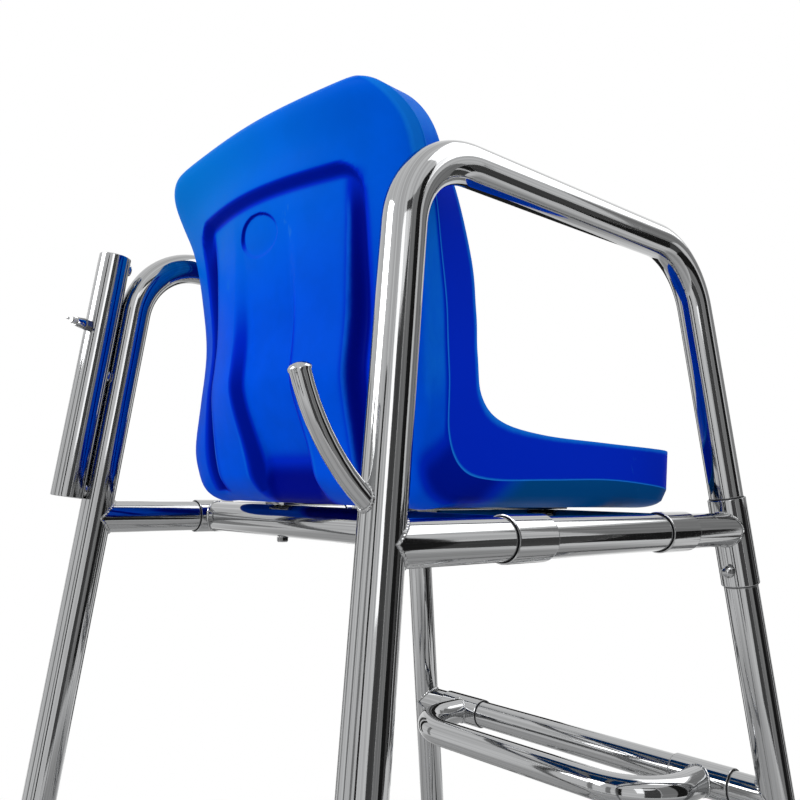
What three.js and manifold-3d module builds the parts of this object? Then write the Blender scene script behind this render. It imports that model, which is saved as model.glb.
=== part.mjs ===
// Lifeguard chair: a tall frame of bent, polished stainless tube with a moulded seat shell,
// four loop steps up its front, an umbrella holder and a rescue hook on its rear posts.
// Millimetres, +Z up. The sitter faces -Y, with the sitter's left hand at +X.
import * as THREE from 'three';
import { mergeVertices } from 'three/addons/utils/BufferGeometryUtils.js';
import Module from 'manifold-3d';

const wasm = await Module();
wasm.setup();

// Driving dimensions of the frame. Heights in the frame count from the side rails' axis.
const RAIL_HEIGHT = 1440;
const RAIL_SPACING = 540;
const POST_SPACING = 540;
const ARM_RISE = 327;
const REAR_LEAN = { x: 0.058, y: 0.122 };
const FRONT_LEAN = { x: 0.072, y: 0.157 };
const TUBE_RADIUS = 19.05;
const TUBE_WALL = 1.5;
const ARM_BEND = 82;
const SLEEVE_RADIUS = 21.3;
const SLEEVE_BORE = 19.8;
const GAP = 0.35;
const TUBE_SIDES = 12;
const BORE_SIDES = 8;
const CUT_REACH = 60;

// Side rails, their collars and the tees
const REAR_COLLAR_Y = 109;
const FRONT_COLLAR_Y = -135;
const COLLAR_LENGTH = 53;
const RAIL_JOINT_GAP = 0.4;
const TEE_TOP = 36;
const TEE_BOTTOM = -63;
const TEE_NECK = 6;
const ARM_END = -8;
const LEG_TOP = -9;
const TEE_BOLT_HEIGHT = -48;

// Bolts
const BOLT_RADIUS = 4;
const BOLT_HOLE = 4.5;
const BOLT_HEAD_ACROSS = 13;
const BOLT_HEAD_HEIGHT = 5.5;
const BOLT_SIDES = 8;
const BUTTON_RADIUS = 7;
const BUTTON_HEAD = [[0, 0], [BUTTON_RADIUS, 0], [BUTTON_RADIUS, 2], [5, 4], [0, 4.6]];
const DOMED_NUT = [[0, 0], [BUTTON_RADIUS, 0], [BUTTON_RADIUS, 5], [5.6, 8.6], [3, 10.6], [0, 11.2]];

// Steps, top one first
const STEP_COUNT = 4;
const FIRST_STEP = -308;
const STEP_PITCH = 277;
const LOOP_DEPTH = 122;
const LOOP_HALF_WIDTH = 203;
const LOOP_BEND = 75;
const LOOP_RADIUS = 18;
const STEP_COLLAR_LENGTH = 76;
const STEP_BOLT_OUT = 24;

// Braces between the legs
const BRACE_RADIUS = 16;
const SIDE_BRACE = -1050;
const REAR_BRACES = { upper: -560, lower: -1120 };

// Rubber feet
const FOOT_HEIGHT = 55;
const FOOT_TOP_RADIUS = 23.5;
const FOOT_BASE_RADIUS = 28;
const LEG_CLEARANCE = 12;
const FOOT_SOCKET = 19.8;

// Umbrella holder and its clamp screw
const HOLDER_RADIUS = 19.05;
const HOLDER_BORE = 17.55;
const HOLDER_BOTTOM = 20;
const HOLDER_TOP = 318;
const CLAMP_HEIGHT = 225;
const CLAMP_TURN = 20;
const CLAMP_BOSS = 8;
const BOSS_CORNER = BOLT_HEAD_ACROSS / Math.sqrt(3);
const STUD_OUT = 26;
const STUD_IN = 9;
const WING_HUB = [[0, 0], [6.5, 0], [6.5, 2], [5.2, 11], [0, 11]];
const WING_THICKNESS = 2.6;

// Rescue hook on the right rear post
const HOOK_RADIUS = 8;
const HOOK_ARC = 196;
const HOOK_START = { y: 285, z: 34 };
const HOOK_ANGLES = { start: 40, end: 72 };
const HOOK_TIP = [
  [0, -1], [HOOK_RADIUS + 0.6, -1], [HOOK_RADIUS + 0.6, 1], [6.4, 3.4], [3.4, 4.8], [0, 5.2],
];

// Seat and its mounting bars
const SEAT_BASE = 25;
const SEAT_HALF_WIDTH = 216;
const BAR_X = 100;
const BAR_WIDTH = 40;
const BAR_Y = { front: -156, rear: 122 };
const SEAT_BOLT_DEPTH = 15;

const STEEL = { color: 0xc9ccd1, roughness: 0.12, metalness: 1 };
const BLUE = { color: 0x0a3fd2, roughness: 0.38, metalness: 0 };
const RUBBER = { color: 0x1b1c1e, roughness: 0.8, metalness: 0 };

const chair = new THREE.Group();
const right = -1;
const left = 1;
const SIDES = [[right, 'right'], [left, 'left']];

const vec = (x, y, z) => new THREE.Vector3(x, y, z);
const radians = THREE.MathUtils.degToRad;

// A point on a post's axis at a height above the rails. Posts spread outwards as they go down.
function rearPost(side, z) {
  return vec(side * (RAIL_SPACING / 2 - REAR_LEAN.x * z), POST_SPACING / 2 - REAR_LEAN.y * z, z);
}

function frontPost(side, z) {
  return vec(side * (RAIL_SPACING / 2 - FRONT_LEAN.x * z), -POST_SPACING / 2 + FRONT_LEAN.y * z, z);
}

// Closed geometry to a solid, and back
function solid(geometry) {
  const bare = geometry.clone();
  bare.deleteAttribute('normal');
  bare.deleteAttribute('uv');
  const merged = mergeVertices(bare, 1e-3);
  return new wasm.Manifold(new wasm.Mesh({
    numProp: 3,
    vertProperties: new Float32Array(merged.attributes.position.array),
    triVerts: Uint32Array.from(merged.index.array),
  }));
}

function geometryOf(body) {
  const mesh = body.getMesh();
  const geometry = new THREE.BufferGeometry();
  geometry.setAttribute('position', new THREE.BufferAttribute(mesh.vertProperties, 3));
  geometry.setIndex(new THREE.BufferAttribute(mesh.triVerts, 1));
  geometry.computeVertexNormals();
  return geometry;
}

function add(name, body, look) {
  const mesh = new THREE.Mesh(geometryOf(body), new THREE.MeshStandardMaterial(look));
  mesh.name = name;
  chair.add(mesh);
}

// A tube's path: straight runs between corners, each inner corner turned on an arc.
class BentPath extends THREE.Curve {
  constructor(corners, bend = 0, stepAngle = 14) {
    super();
    this.stations = [];
    const direction = (i) => corners[i + 1].clone().sub(corners[i]).normalize();
    this.mark(corners[0], direction(0));
    for (let i = 1; i < corners.length - 1; i++) {
      const into = direction(i - 1);
      const out = direction(i);
      const turn = into.angleTo(out);
      const start = corners[i].clone().addScaledVector(into, -bend * Math.tan(turn / 2));
      const axis = into.clone().cross(out).normalize();
      const centre = start.clone().addScaledVector(axis.clone().cross(into), bend);
      const steps = Math.ceil(turn / radians(stepAngle));
      for (let k = 0; k <= steps; k++) {
        const angle = turn * k / steps;
        const arm = start.clone().sub(centre).applyAxisAngle(axis, angle);
        this.mark(centre.clone().add(arm), into.clone().applyAxisAngle(axis, angle));
      }
    }
    this.mark(corners.at(-1), direction(corners.length - 2));
  }

  mark(point, tangent) {
    this.stations.push({ point: point.clone(), tangent: tangent.clone() });
  }

  station(t) {
    return this.stations[Math.round(t * (this.stations.length - 1))];
  }

  getPoint(t) {
    return this.station(t).point.clone();
  }

  getTangent(t) {
    return this.station(t).tangent.clone();
  }

  getUtoTmapping(u) {
    return u;
  }
}

function circle(radius, sides) {
  return Array.from({ length: sides }, (_, i) => {
    const angle = 2 * Math.PI * i / sides;
    return new THREE.Vector2(radius * Math.cos(angle), radius * Math.sin(angle));
  });
}

// A bar or tube along a path. A bore of 0 leaves it solid.
function along(path, radius, bore = 0, sides = TUBE_SIDES) {
  const shape = new THREE.Shape(circle(radius, sides));
  if (bore > 0) shape.holes.push(new THREE.Path(circle(bore, BORE_SIDES)));
  const steps = path.stations.length - 1;
  return solid(new THREE.ExtrudeGeometry(shape, { steps, extrudePath: path }));
}

function rod(from, to, radius, sides = TUBE_SIDES) {
  return along(new BentPath([from, to]), radius, 0, sides);
}

function pipe(from, to, radius = TUBE_RADIUS, bore = TUBE_RADIUS - TUBE_WALL) {
  return along(new BentPath([from, to]), radius, bore);
}

// The space that a post takes beside a height, a little over its own radius, to cope a tube's end
function postSpace(post, side, z) {
  return rod(post(side, z - CUT_REACH), post(side, z + CUT_REACH), TUBE_RADIUS + GAP);
}

function armTube(side) {
  const corners = [
    rearPost(side, LEG_CLEARANCE - RAIL_HEIGHT),
    rearPost(side, ARM_RISE),
    frontPost(side, ARM_RISE),
    frontPost(side, ARM_END),
  ];
  return along(new BentPath(corners, ARM_BEND), TUBE_RADIUS, TUBE_RADIUS - TUBE_WALL);
}

function teeBoltHole(side) {
  const centre = frontPost(side, TEE_BOLT_HEIGHT);
  const reach = vec(0, CUT_REACH, 0);
  return rod(centre.clone().sub(reach), centre.clone().add(reach), BOLT_HOLE, BOLT_SIDES);
}

function frontLeg(side) {
  const tube = pipe(frontPost(side, LEG_TOP - GAP), frontPost(side, LEG_CLEARANCE - RAIL_HEIGHT));
  return tube.subtract(teeBoltHole(side));
}

// Sleeve over the front post with a stub that runs back to the front collar
function frontTee(side) {
  const low = frontPost(side, TEE_BOTTOM);
  const high = frontPost(side, TEE_TOP);
  const x = side * RAIL_SPACING / 2;
  const stubEnd = vec(x, FRONT_COLLAR_Y - RAIL_JOINT_GAP, 0);
  const stub = rod(vec(x, -POST_SPACING / 2, 0), stubEnd, TUBE_RADIUS);
  const boreStart = vec(x, -POST_SPACING / 2 + TUBE_RADIUS + TEE_NECK, 0);
  const boreEnd = stubEnd.clone().add(vec(0, CUT_REACH, 0));
  const sleeveBore = rod(frontPost(side, -2 * CUT_REACH), frontPost(side, CUT_REACH), SLEEVE_BORE);
  return rod(low, high, SLEEVE_RADIUS)
    .add(stub)
    .subtract(sleeveBore)
    .subtract(rod(boreStart, boreEnd, TUBE_RADIUS - TUBE_WALL))
    .subtract(teeBoltHole(side));
}

function sideRail(side) {
  const x = side * RAIL_SPACING / 2;
  const tube = pipe(vec(x, POST_SPACING / 2, 0), vec(x, FRONT_COLLAR_Y + RAIL_JOINT_GAP, 0));
  return tube.subtract(postSpace(rearPost, side, 0));
}

function seatBoltPlaces() {
  return [REAR_COLLAR_Y, FRONT_COLLAR_Y].flatMap((y) => [[-BAR_X, y], [BAR_X, y]]);
}

function seatBoltHoles(low, high) {
  const hole = ([x, y]) => rod(vec(x, y, low), vec(x, y, high), BOLT_HOLE, BOLT_SIDES);
  return seatBoltPlaces().map(hole).reduce((all, next) => all.add(next));
}

// Tube across the chair with a collar at each end that slides on a side rail
function seatCrossbar(y) {
  const end = RAIL_SPACING / 2;
  const half = COLLAR_LENGTH / 2;
  let body = rod(vec(-end, y, 0), vec(end, y, 0), TUBE_RADIUS);
  for (const side of [right, left]) {
    body = body.add(rod(vec(side * end, y - half, 0), vec(side * end, y + half, 0), SLEEVE_RADIUS));
  }
  body = body.subtract(rod(vec(-end, y, 0), vec(end, y, 0), TUBE_RADIUS - TUBE_WALL));
  for (const side of [right, left]) {
    const low = vec(side * end, y - CUT_REACH, 0);
    body = body.subtract(rod(low, vec(side * end, y + CUT_REACH, 0), SLEEVE_BORE));
  }
  return body.subtract(seatBoltHoles(-CUT_REACH, CUT_REACH));
}

function box(low, high) {
  const size = high.clone().sub(low);
  const geometry = new THREE.BoxGeometry(size.x, size.y, size.z);
  const centre = low.clone().add(high).multiplyScalar(0.5);
  return solid(geometry.translate(centre.x, centre.y, centre.z));
}

function seatBar(side) {
  const x = side * BAR_X;
  const low = vec(x - BAR_WIDTH / 2, BAR_Y.front, TUBE_RADIUS + GAP);
  const high = vec(x + BAR_WIDTH / 2, BAR_Y.rear, SEAT_BASE - GAP);
  return box(low, high).subtract(seatBoltHoles(0, CUT_REACH));
}

// A bolt from its head's base at `from`, with its shank running to `to`
function bolt(from, to) {
  const out = from.clone().sub(to).normalize();
  const headTop = from.clone().addScaledVector(out, BOLT_HEAD_HEIGHT);
  const head = rod(from, headTop, BOSS_CORNER, 6);
  return head.add(rod(from.clone().addScaledVector(out, 1), to, BOLT_RADIUS, BOLT_SIDES));
}

function seatBolt([x, y]) {
  const headBase = -TUBE_RADIUS - GAP;
  return bolt(vec(x, y, headBase), vec(x, y, SEAT_BASE + SEAT_BOLT_DEPTH - 2));
}

// Turned about Z and then laid along a direction from a point
function place(body, point, direction) {
  const turn = new THREE.Quaternion().setFromUnitVectors(vec(0, 0, 1), direction.clone().normalize());
  const matrix = new THREE.Matrix4().compose(point, turn, vec(1, 1, 1));
  return body.transform(matrix.elements);
}

function revolved(profile, sides) {
  const points = profile.map(([r, h]) => new THREE.Vector2(r, h));
  return solid(new THREE.LatheGeometry(points, sides).rotateX(Math.PI / 2));
}

// Through bolt of a tee: button head to the front, domed nut to the rear
function teeBolt(side) {
  const centre = frontPost(side, TEE_BOLT_HEIGHT);
  const seat = SLEEVE_RADIUS * Math.hypot(1, FRONT_LEAN.y) + BUTTON_RADIUS * FRONT_LEAN.y + GAP;
  const end = (profile, way) => {
    const start = centre.clone().add(vec(0, way * seat, 0));
    return place(revolved(profile, TUBE_SIDES), start, vec(0, way, 0));
  };
  const reach = vec(0, seat + 1, 0);
  return rod(centre.clone().sub(reach), centre.clone().add(reach), BOLT_RADIUS, BOLT_SIDES)
    .add(end(BUTTON_HEAD, -1))
    .add(end(DOMED_NUT, 1));
}

const stepHeight = (i) => FIRST_STEP - i * STEP_PITCH;

function stepBar(i) {
  const z = stepHeight(i);
  let bar = pipe(frontPost(right, z), frontPost(left, z));
  for (const side of [right, left]) {
    bar = bar.subtract(postSpace(frontPost, side, z)).subtract(stepBoltHole(i, side));
  }
  return bar;
}

function stepBoltPlace(i, side, drop) {
  const bar = frontPost(side, stepHeight(i));
  return vec(side * (LOOP_HALF_WIDTH + STEP_BOLT_OUT), bar.y, bar.z - drop);
}

function stepBoltHole(i, side) {
  return rod(stepBoltPlace(i, side, CUT_REACH), stepBoltPlace(i, side, 0), BOLT_HOLE, BOLT_SIDES);
}

function stepBolt(i, side) {
  return bolt(stepBoltPlace(i, side, SLEEVE_RADIUS + GAP), stepBoltPlace(i, side, 8));
}

// U-shaped tread tube behind the bar, its ends joined to two collars on the bar
function stepLoop(i) {
  const z = stepHeight(i);
  const y = frontPost(left, z).y;
  const corner = (side, depth) => vec(side * LOOP_HALF_WIDTH, y + depth, z);
  const path = new BentPath([
    corner(right, 0),
    corner(right, LOOP_DEPTH),
    corner(left, LOOP_DEPTH),
    corner(left, 0),
  ], LOOP_BEND, 22.5);
  const across = (side, radius, reach) => {
    return rod(corner(side, 0).add(vec(-reach, 0, 0)), corner(side, 0).add(vec(reach, 0, 0)), radius);
  };
  let body = along(path, LOOP_RADIUS);
  for (const side of [right, left]) body = body.add(across(side, SLEEVE_RADIUS, STEP_COLLAR_LENGTH / 2));
  body = body.subtract(along(path, LOOP_RADIUS - TUBE_WALL));
  for (const side of [right, left]) {
    body = body.subtract(across(side, SLEEVE_BORE, CUT_REACH)).subtract(stepBoltHole(i, side));
  }
  return body;
}

function rearBrace(z) {
  const bar = pipe(rearPost(right, z), rearPost(left, z), BRACE_RADIUS, BRACE_RADIUS - TUBE_WALL);
  return bar.subtract(postSpace(rearPost, right, z)).subtract(postSpace(rearPost, left, z));
}

function sideBrace(side) {
  const z = SIDE_BRACE;
  const bar = pipe(rearPost(side, z), frontPost(side, z), BRACE_RADIUS, BRACE_RADIUS - TUBE_WALL);
  return bar.subtract(postSpace(rearPost, side, z)).subtract(postSpace(frontPost, side, z));
}

// Rubber foot: a tapered boot along the leg, cut flat at the floor, with a blind socket for the tube
function foot(post, side) {
  const at = (height) => post(side, height - RAIL_HEIGHT);
  const up = at(FOOT_HEIGHT).sub(at(0));
  const length = up.length();
  const profile = [
    [0, -15], [FOOT_BASE_RADIUS, -15], [FOOT_BASE_RADIUS, 12], [FOOT_TOP_RADIUS, length - 3],
    [FOOT_TOP_RADIUS - 1.5, length], [0, length],
  ];
  const boot = place(revolved(profile, 20), at(0), up);
  const socket = rod(at(LEG_CLEARANCE - 1), at(FOOT_HEIGHT + CUT_REACH), FOOT_SOCKET);
  const reach = vec(CUT_REACH, CUT_REACH, 0);
  const belowFloor = box(at(0).sub(reach).add(vec(0, 0, -CUT_REACH)), at(0).add(reach));
  return boot.subtract(socket).subtract(belowFloor);
}

// The holder stands straight behind the left rear post and parallel to it.
const postUp = rearPost(left, 1).sub(rearPost(left, 0)).normalize();
const holderOut = vec(0, 1, 0).addScaledVector(postUp, -postUp.y).normalize();
const holderOffset = TUBE_RADIUS + HOLDER_RADIUS + GAP;

function holderAxis(z) {
  return rearPost(left, z).addScaledVector(holderOut, holderOffset);
}

// The clamp screw points to the rear and a little inwards, square to the holder.
const clampOut = holderOut.clone().applyAxisAngle(postUp, radians(CLAMP_TURN));

function clampPoint(out) {
  return holderAxis(CLAMP_HEIGHT).addScaledVector(clampOut, out);
}

function umbrellaHolder() {
  const tube = pipe(holderAxis(HOLDER_BOTTOM), holderAxis(HOLDER_TOP), HOLDER_RADIUS, HOLDER_BORE);
  return tube.subtract(rod(clampPoint(0), clampPoint(CUT_REACH), BOLT_HOLE, BOLT_SIDES));
}

function clampBoss() {
  const top = clampPoint(HOLDER_RADIUS + CLAMP_BOSS);
  const boss = rod(clampPoint(HOLDER_RADIUS - 1), top, BOSS_CORNER, 6);
  const bore = rod(clampPoint(0), clampPoint(CUT_REACH), BOLT_HOLE, BOLT_SIDES);
  const holder = rod(
    holderAxis(CLAMP_HEIGHT - CUT_REACH),
    holderAxis(CLAMP_HEIGHT + CUT_REACH),
    HOLDER_RADIUS + GAP,
  );
  return boss.subtract(bore).subtract(holder);
}

function clampStud() {
  return rod(clampPoint(HOLDER_BORE - STUD_IN), clampPoint(HOLDER_RADIUS + STUD_OUT), BOLT_RADIUS);
}

// Hub with two raised wings, as on a wing nut
function clampWing() {
  const outline = new THREE.Shape();
  outline.moveTo(-4, 1.5);
  outline.lineTo(4, 1.5);
  outline.quadraticCurveTo(9, 3, 13, 8);
  outline.quadraticCurveTo(15, 14, 11, 15);
  outline.quadraticCurveTo(7, 14, 4, 8);
  outline.lineTo(-4, 8);
  outline.quadraticCurveTo(-7, 14, -11, 15);
  outline.quadraticCurveTo(-15, 14, -13, 8);
  outline.quadraticCurveTo(-9, 3, -4, 1.5);
  const flat = { depth: WING_THICKNESS, bevelEnabled: false, curveSegments: 3 };
  const blade = new THREE.ExtrudeGeometry(outline, flat).translate(0, 0, -WING_THICKNESS / 2);
  const bore = rod(vec(0, 0, -CUT_REACH), vec(0, 0, CUT_REACH), BOLT_RADIUS + GAP);
  const body = revolved(WING_HUB, 14).add(solid(blade.rotateX(Math.PI / 2))).subtract(bore);
  return place(body, clampPoint(HOLDER_RADIUS + CLAMP_BOSS + 1), clampOut);
}

// Arc that leaves the post rising to the rear and ends nearly upright, with a domed tip
function rescueHook() {
  const x = rearPost(right, HOOK_START.z).x;
  const start = radians(HOOK_ANGLES.start);
  const turn = radians(HOOK_ANGLES.end) - start;
  const into = vec(0, Math.cos(start), Math.sin(start));
  const out = vec(0, Math.cos(start + turn), Math.sin(start + turn));
  const reach = HOOK_ARC * Math.tan(turn / 2);
  const begin = vec(x, HOOK_START.y, HOOK_START.z);
  const corner = begin.clone().addScaledVector(into, reach);
  const tip = corner.clone().addScaledVector(out, reach);
  const path = new BentPath([begin, corner, tip], HOOK_ARC, 6);
  const cap = place(revolved(HOOK_TIP, TUBE_SIDES), tip, out);
  return along(path, HOOK_RADIUS).add(cap).subtract(postSpace(rearPost, right, HOOK_START.z));
}

// Seat shell. Its side edge has three lines in the plane of the side, from the front lip along
// the pan and up to the top of the back: the sitter's face, the parting line and the rear face.
const FACE_LINE = sideLine([
  [-257, 66], [-251, 86], [-232, 92], [-106, 95], [0, 98], [66, 108], [94, 131], [98, 170],
  [95, 212], [101, 262], [123, 318], [155, 368], [180, 412], [198, 432],
]);
const PARTING_LINE = sideLine([
  [-259, 42], [-246, 43], [-180, 50], [-100, 54], [0, 52], [90, 51], [130, 62], [146, 95],
  [142, 150], [142, 205], [151, 262], [164, 318], [187, 369], [213, 412], [223, 436],
]);
const REAR_LINE = sideLine([
  [-252, 33], [-242, 26], [-220, 25], [-100, 25], [40, 25], [118, 25], [146, 24], [170, 40],
  [183, 76], [181, 140], [176, 205], [182, 265], [192, 325], [208, 375], [229, 418], [229, 437],
]);
const SEAT_STATIONS = 27;
const SEAT_SAMPLES = 200;
const SEAT_TOP = 437;
const SEAT_FRONT = 259;
const TOP_CORNER = 80;
const TOP_CROWN = { drop: 4, from: [330, 437] };
const FRONT_CORNER = 54;
const SEAT_COLUMNS = [0, 0.13, 0.21, 0.3, 0.45, 0.6, 0.64, 0.67, 0.72, 0.85, 0.93, 0.98];
const WAIST = { depth: 7.5, low: [100, 195], high: [230, 400] };
const FLARE = { width: 8, from: [320, 437] };
const FACE_INSET = 8;
const BACK_BOW = { depth: 36, low: [60, 160], high: [320, 425], kept: 0.15 };
const PAN_DISH = 0.42;
const BACK_DISH = 0.35;
const DISH_EDGE = [0.42, 0.98];
const RECESS = { half: 150, top: 347, corner: 30, step: [-7, 7], depth: 10 };
const RIDGE = { inner: [0.15, 0.29], outer: [0.6, 0.67], height: 14, fade: [180, 345] };
const CHANNEL = { depth: 10, edge: [0.1, 0.27], fade: [60, 300] };
const SKIRT = { depth: 4, edge: [0.68, 0.85] };
const BACK_FOOT = [26, 58];
const WRAP_POWER = 8;
const MEDALLION = { height: 303, radius: 24, depth: 2.5, slope: 0.15 };

const smooth = (value, low, high) => THREE.MathUtils.smoothstep(value, low, high);
const rise = (value, [low, high]) => smooth(value, low, high);
const fall = (value, range) => 1 - rise(value, range);

function sideLine(points) {
  return new THREE.SplineCurve(points.map(([y, z]) => new THREE.Vector2(y, z)));
}

// Half width of the shell at a place on its side lines: round corners at the top and the front,
// a slight waist at the middle of the back and a flare above it
function seatHalfWidth(point) {
  const nearTop = Math.max(0, point.y - (SEAT_TOP - TOP_CORNER)) / TOP_CORNER;
  const nearFront = Math.max(0, -(SEAT_FRONT - FRONT_CORNER) - point.x) / FRONT_CORNER;
  const cut = (near, radius) => radius * (1 - Math.sqrt(1 - Math.min(1, near) ** 2));
  const waist = WAIST.depth * rise(point.y, WAIST.low) * fall(point.y, WAIST.high);
  const flare = FLARE.width * rise(point.y, FLARE.from);
  return SEAT_HALF_WIDTH + flare - waist - cut(nearTop, TOP_CORNER) - cut(nearFront, FRONT_CORNER);
}

// How far a place on the rear face lies outside the panel, which has round upper corners
function outsidePanel(u, z) {
  const beside = Math.abs(u) * SEAT_HALF_WIDTH - (RECESS.half - RECESS.corner);
  const above = z - (RECESS.top - RECESS.corner);
  return Math.hypot(Math.max(0, beside), Math.max(0, above)) - RECESS.corner;
}

// How far the rear face stands off its line, in millimetres, inwards positive: a recessed panel
// with two upright ridges and a channel between them, and a skirt round the pan's underside
function rearRelief(u, z) {
  const across = Math.abs(u);
  const onBack = rise(z, BACK_FOOT);
  const recess = RECESS.depth * fall(outsidePanel(u, z), RECESS.step);
  const onRidge = rise(across, RIDGE.inner) * fall(across, RIDGE.outer);
  const ridge = RIDGE.height * onRidge * fall(z, RIDGE.fade);
  const channel = CHANNEL.depth * fall(across, CHANNEL.edge) * fall(z, CHANNEL.fade);
  const skirt = SKIRT.depth * rise(across, SKIRT.edge) * (1 - onBack);
  return onBack * (recess - ridge + channel) - skirt;
}

// How far the back bows to the rear across its width: fully at its middle, little at its top rim
function backBow(u, z) {
  const top = 1 - (1 - BACK_BOW.kept) * rise(z, BACK_BOW.high);
  return BACK_BOW.depth * (1 - u * u) ** 2 * rise(z, BACK_BOW.low) * top;
}

// A place on the shell: moved to the rear by the bow, and down by the crown of the top edge
function shellPoint(u, across, point) {
  const drop = TOP_CROWN.drop * u * u * rise(point.y, TOP_CROWN.from);
  return vec(across, point.x + backBow(u, point.y), point.y - drop);
}

function seatRing(s) {
  const face = FACE_LINE.getPointAt(s);
  const parting = PARTING_LINE.getPointAt(s);
  const rear = REAR_LINE.getPointAt(s);
  const half = seatHalfWidth(parting);
  const inward = face.clone().sub(rear).normalize();
  const dishDepth = THREE.MathUtils.lerp(PAN_DISH, BACK_DISH, smooth(face.y, 100, 200));
  const ends = smooth(s, 0.02, 0.16) * (1 - smooth(s, 0.8, 0.99));
  const faceEnd = SEAT_COLUMNS.at(-1);
  const front = (u) => {
    const dish = dishDepth * ends * fall(Math.abs(u), DISH_EDGE);
    const point = face.clone().lerp(rear, dish);
    return shellPoint(u, u / faceEnd * (half - FACE_INSET), point);
  };
  const back = (u) => {
    const wrap = 1 - Math.sqrt(1 - Math.abs(u) ** WRAP_POWER);
    const point = rear.clone().lerp(parting, wrap);
    point.addScaledVector(inward, rearRelief(u, rear.y));
    return shellPoint(u, u * half, point);
  };
  const columns = [...SEAT_COLUMNS.slice(1).map((u) => -u).reverse(), ...SEAT_COLUMNS];
  return [
    ...columns.map(front),
    shellPoint(1, half, parting),
    ...columns.map(back).reverse(),
    shellPoint(-1, -half, parting),
  ];
}

// Rings of equal count joined in order, each end closed by a strip between its two faces
function loft(rings) {
  const count = rings[0].length;
  const positions = rings.flat().flatMap((p) => [p.x, p.y, p.z]);
  const index = [];
  for (let i = 0; i < rings.length - 1; i++) {
    for (let j = 0; j < count; j++) {
      const a = i * count + j;
      const b = i * count + (j + 1) % count;
      index.push(a, b, a + count, b, b + count, a + count);
    }
  }
  const half = count / 2 - 1;
  const cap = (first, flip) => {
    const at = (j) => first + (j + count) % count;
    for (let j = 0; j < half; j++) {
      const quad = [at(j - 1), at(j), at(count - 3 - j), at(count - 2 - j)];
      const order = flip ? [0, 2, 1, 0, 3, 2] : [0, 1, 2, 0, 2, 3];
      index.push(...order.map((k) => quad[k]));
    }
  };
  cap(0, true);
  cap((rings.length - 1) * count, false);
  const geometry = new THREE.BufferGeometry();
  geometry.setAttribute('position', new THREE.Float32BufferAttribute(positions, 3));
  geometry.setIndex(index);
  return geometry;
}

// The shallow bare disc pressed into the back, as the space that it takes away
function medallion() {
  const line = REAR_LINE.getPoints(SEAT_SAMPLES).find((point) => point.y > MEDALLION.height);
  const centre = vec(0, line.x + BACK_BOW.depth - RECESS.depth, line.y);
  const out = vec(0, 1, -MEDALLION.slope).normalize();
  const floor = centre.clone().addScaledVector(out, -MEDALLION.depth);
  return rod(floor, centre.addScaledVector(out, MEDALLION.radius), MEDALLION.radius, 16);
}

function seatShell() {
  const rings = Array.from({ length: SEAT_STATIONS + 1 }, (_, i) => seatRing(i / SEAT_STATIONS));
  const shell = solid(loft(rings)).subtract(seatBoltHoles(0, SEAT_BASE + SEAT_BOLT_DEPTH));
  return shell.subtract(medallion());
}

for (const [side, word] of SIDES) {
  add(`${word}_arm_tube`, armTube(side), STEEL);
  add(`${word}_front_leg`, frontLeg(side), STEEL);
  add(`${word}_front_tee`, frontTee(side), STEEL);
  add(`${word}_tee_bolt`, teeBolt(side), STEEL);
  add(`${word}_side_rail`, sideRail(side), STEEL);
  add(`${word}_seat_bar`, seatBar(side), STEEL);
  add(`${word}_side_brace`, sideBrace(side), STEEL);
  add(`${word}_rear_foot`, foot(rearPost, side), RUBBER);
  add(`${word}_front_foot`, foot(frontPost, side), RUBBER);
}
add('rear_seat_crossbar', seatCrossbar(REAR_COLLAR_Y), STEEL);
add('front_seat_crossbar', seatCrossbar(FRONT_COLLAR_Y), STEEL);
add('upper_rear_brace', rearBrace(REAR_BRACES.upper), STEEL);
add('lower_rear_brace', rearBrace(REAR_BRACES.lower), STEEL);
add('seat_shell', seatShell(), BLUE);
seatBoltPlaces().forEach((at, i) => add(`seat_bolt_${i + 1}`, seatBolt(at), STEEL));
for (let i = 0; i < STEP_COUNT; i++) {
  add(`step_bar_${i + 1}`, stepBar(i), STEEL);
  add(`step_loop_${i + 1}`, stepLoop(i), STEEL);
  for (const [side, word] of SIDES) {
    add(`step_bolt_${i + 1}_${word}`, stepBolt(i, side), STEEL);
  }
}
add('rescue_hook', rescueHook(), STEEL);
add('umbrella_holder', umbrellaHolder(), STEEL);
add('clamp_boss', clampBoss(), STEEL);
add('clamp_stud', clampStud(), STEEL);
add('clamp_wing', clampWing(), STEEL);

// The origin is on the floor, under the middle of the feet.
const root = new THREE.Group();
const feet = rearPost(left, -RAIL_HEIGHT).add(frontPost(left, -RAIL_HEIGHT));
chair.position.set(0, -feet.y / 2, RAIL_HEIGHT);
root.add(chair);

export default root;
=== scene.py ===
"""Lifeguard chair of bent, polished tube: moulded seat, loop steps, umbrella holder and rescue hook.

Each solid of the frame gets a finished piece of the same sizes in its place.
Metres, +Z up, the sitter faces -Y. Pieces are laid out from the side rails, whose height is zero.
"""

import bisect
import math

import bmesh
import bpy
from bpy.props import FloatProperty, FloatVectorProperty, IntProperty, PointerProperty
from mathutils import Matrix, Vector, noise


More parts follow.
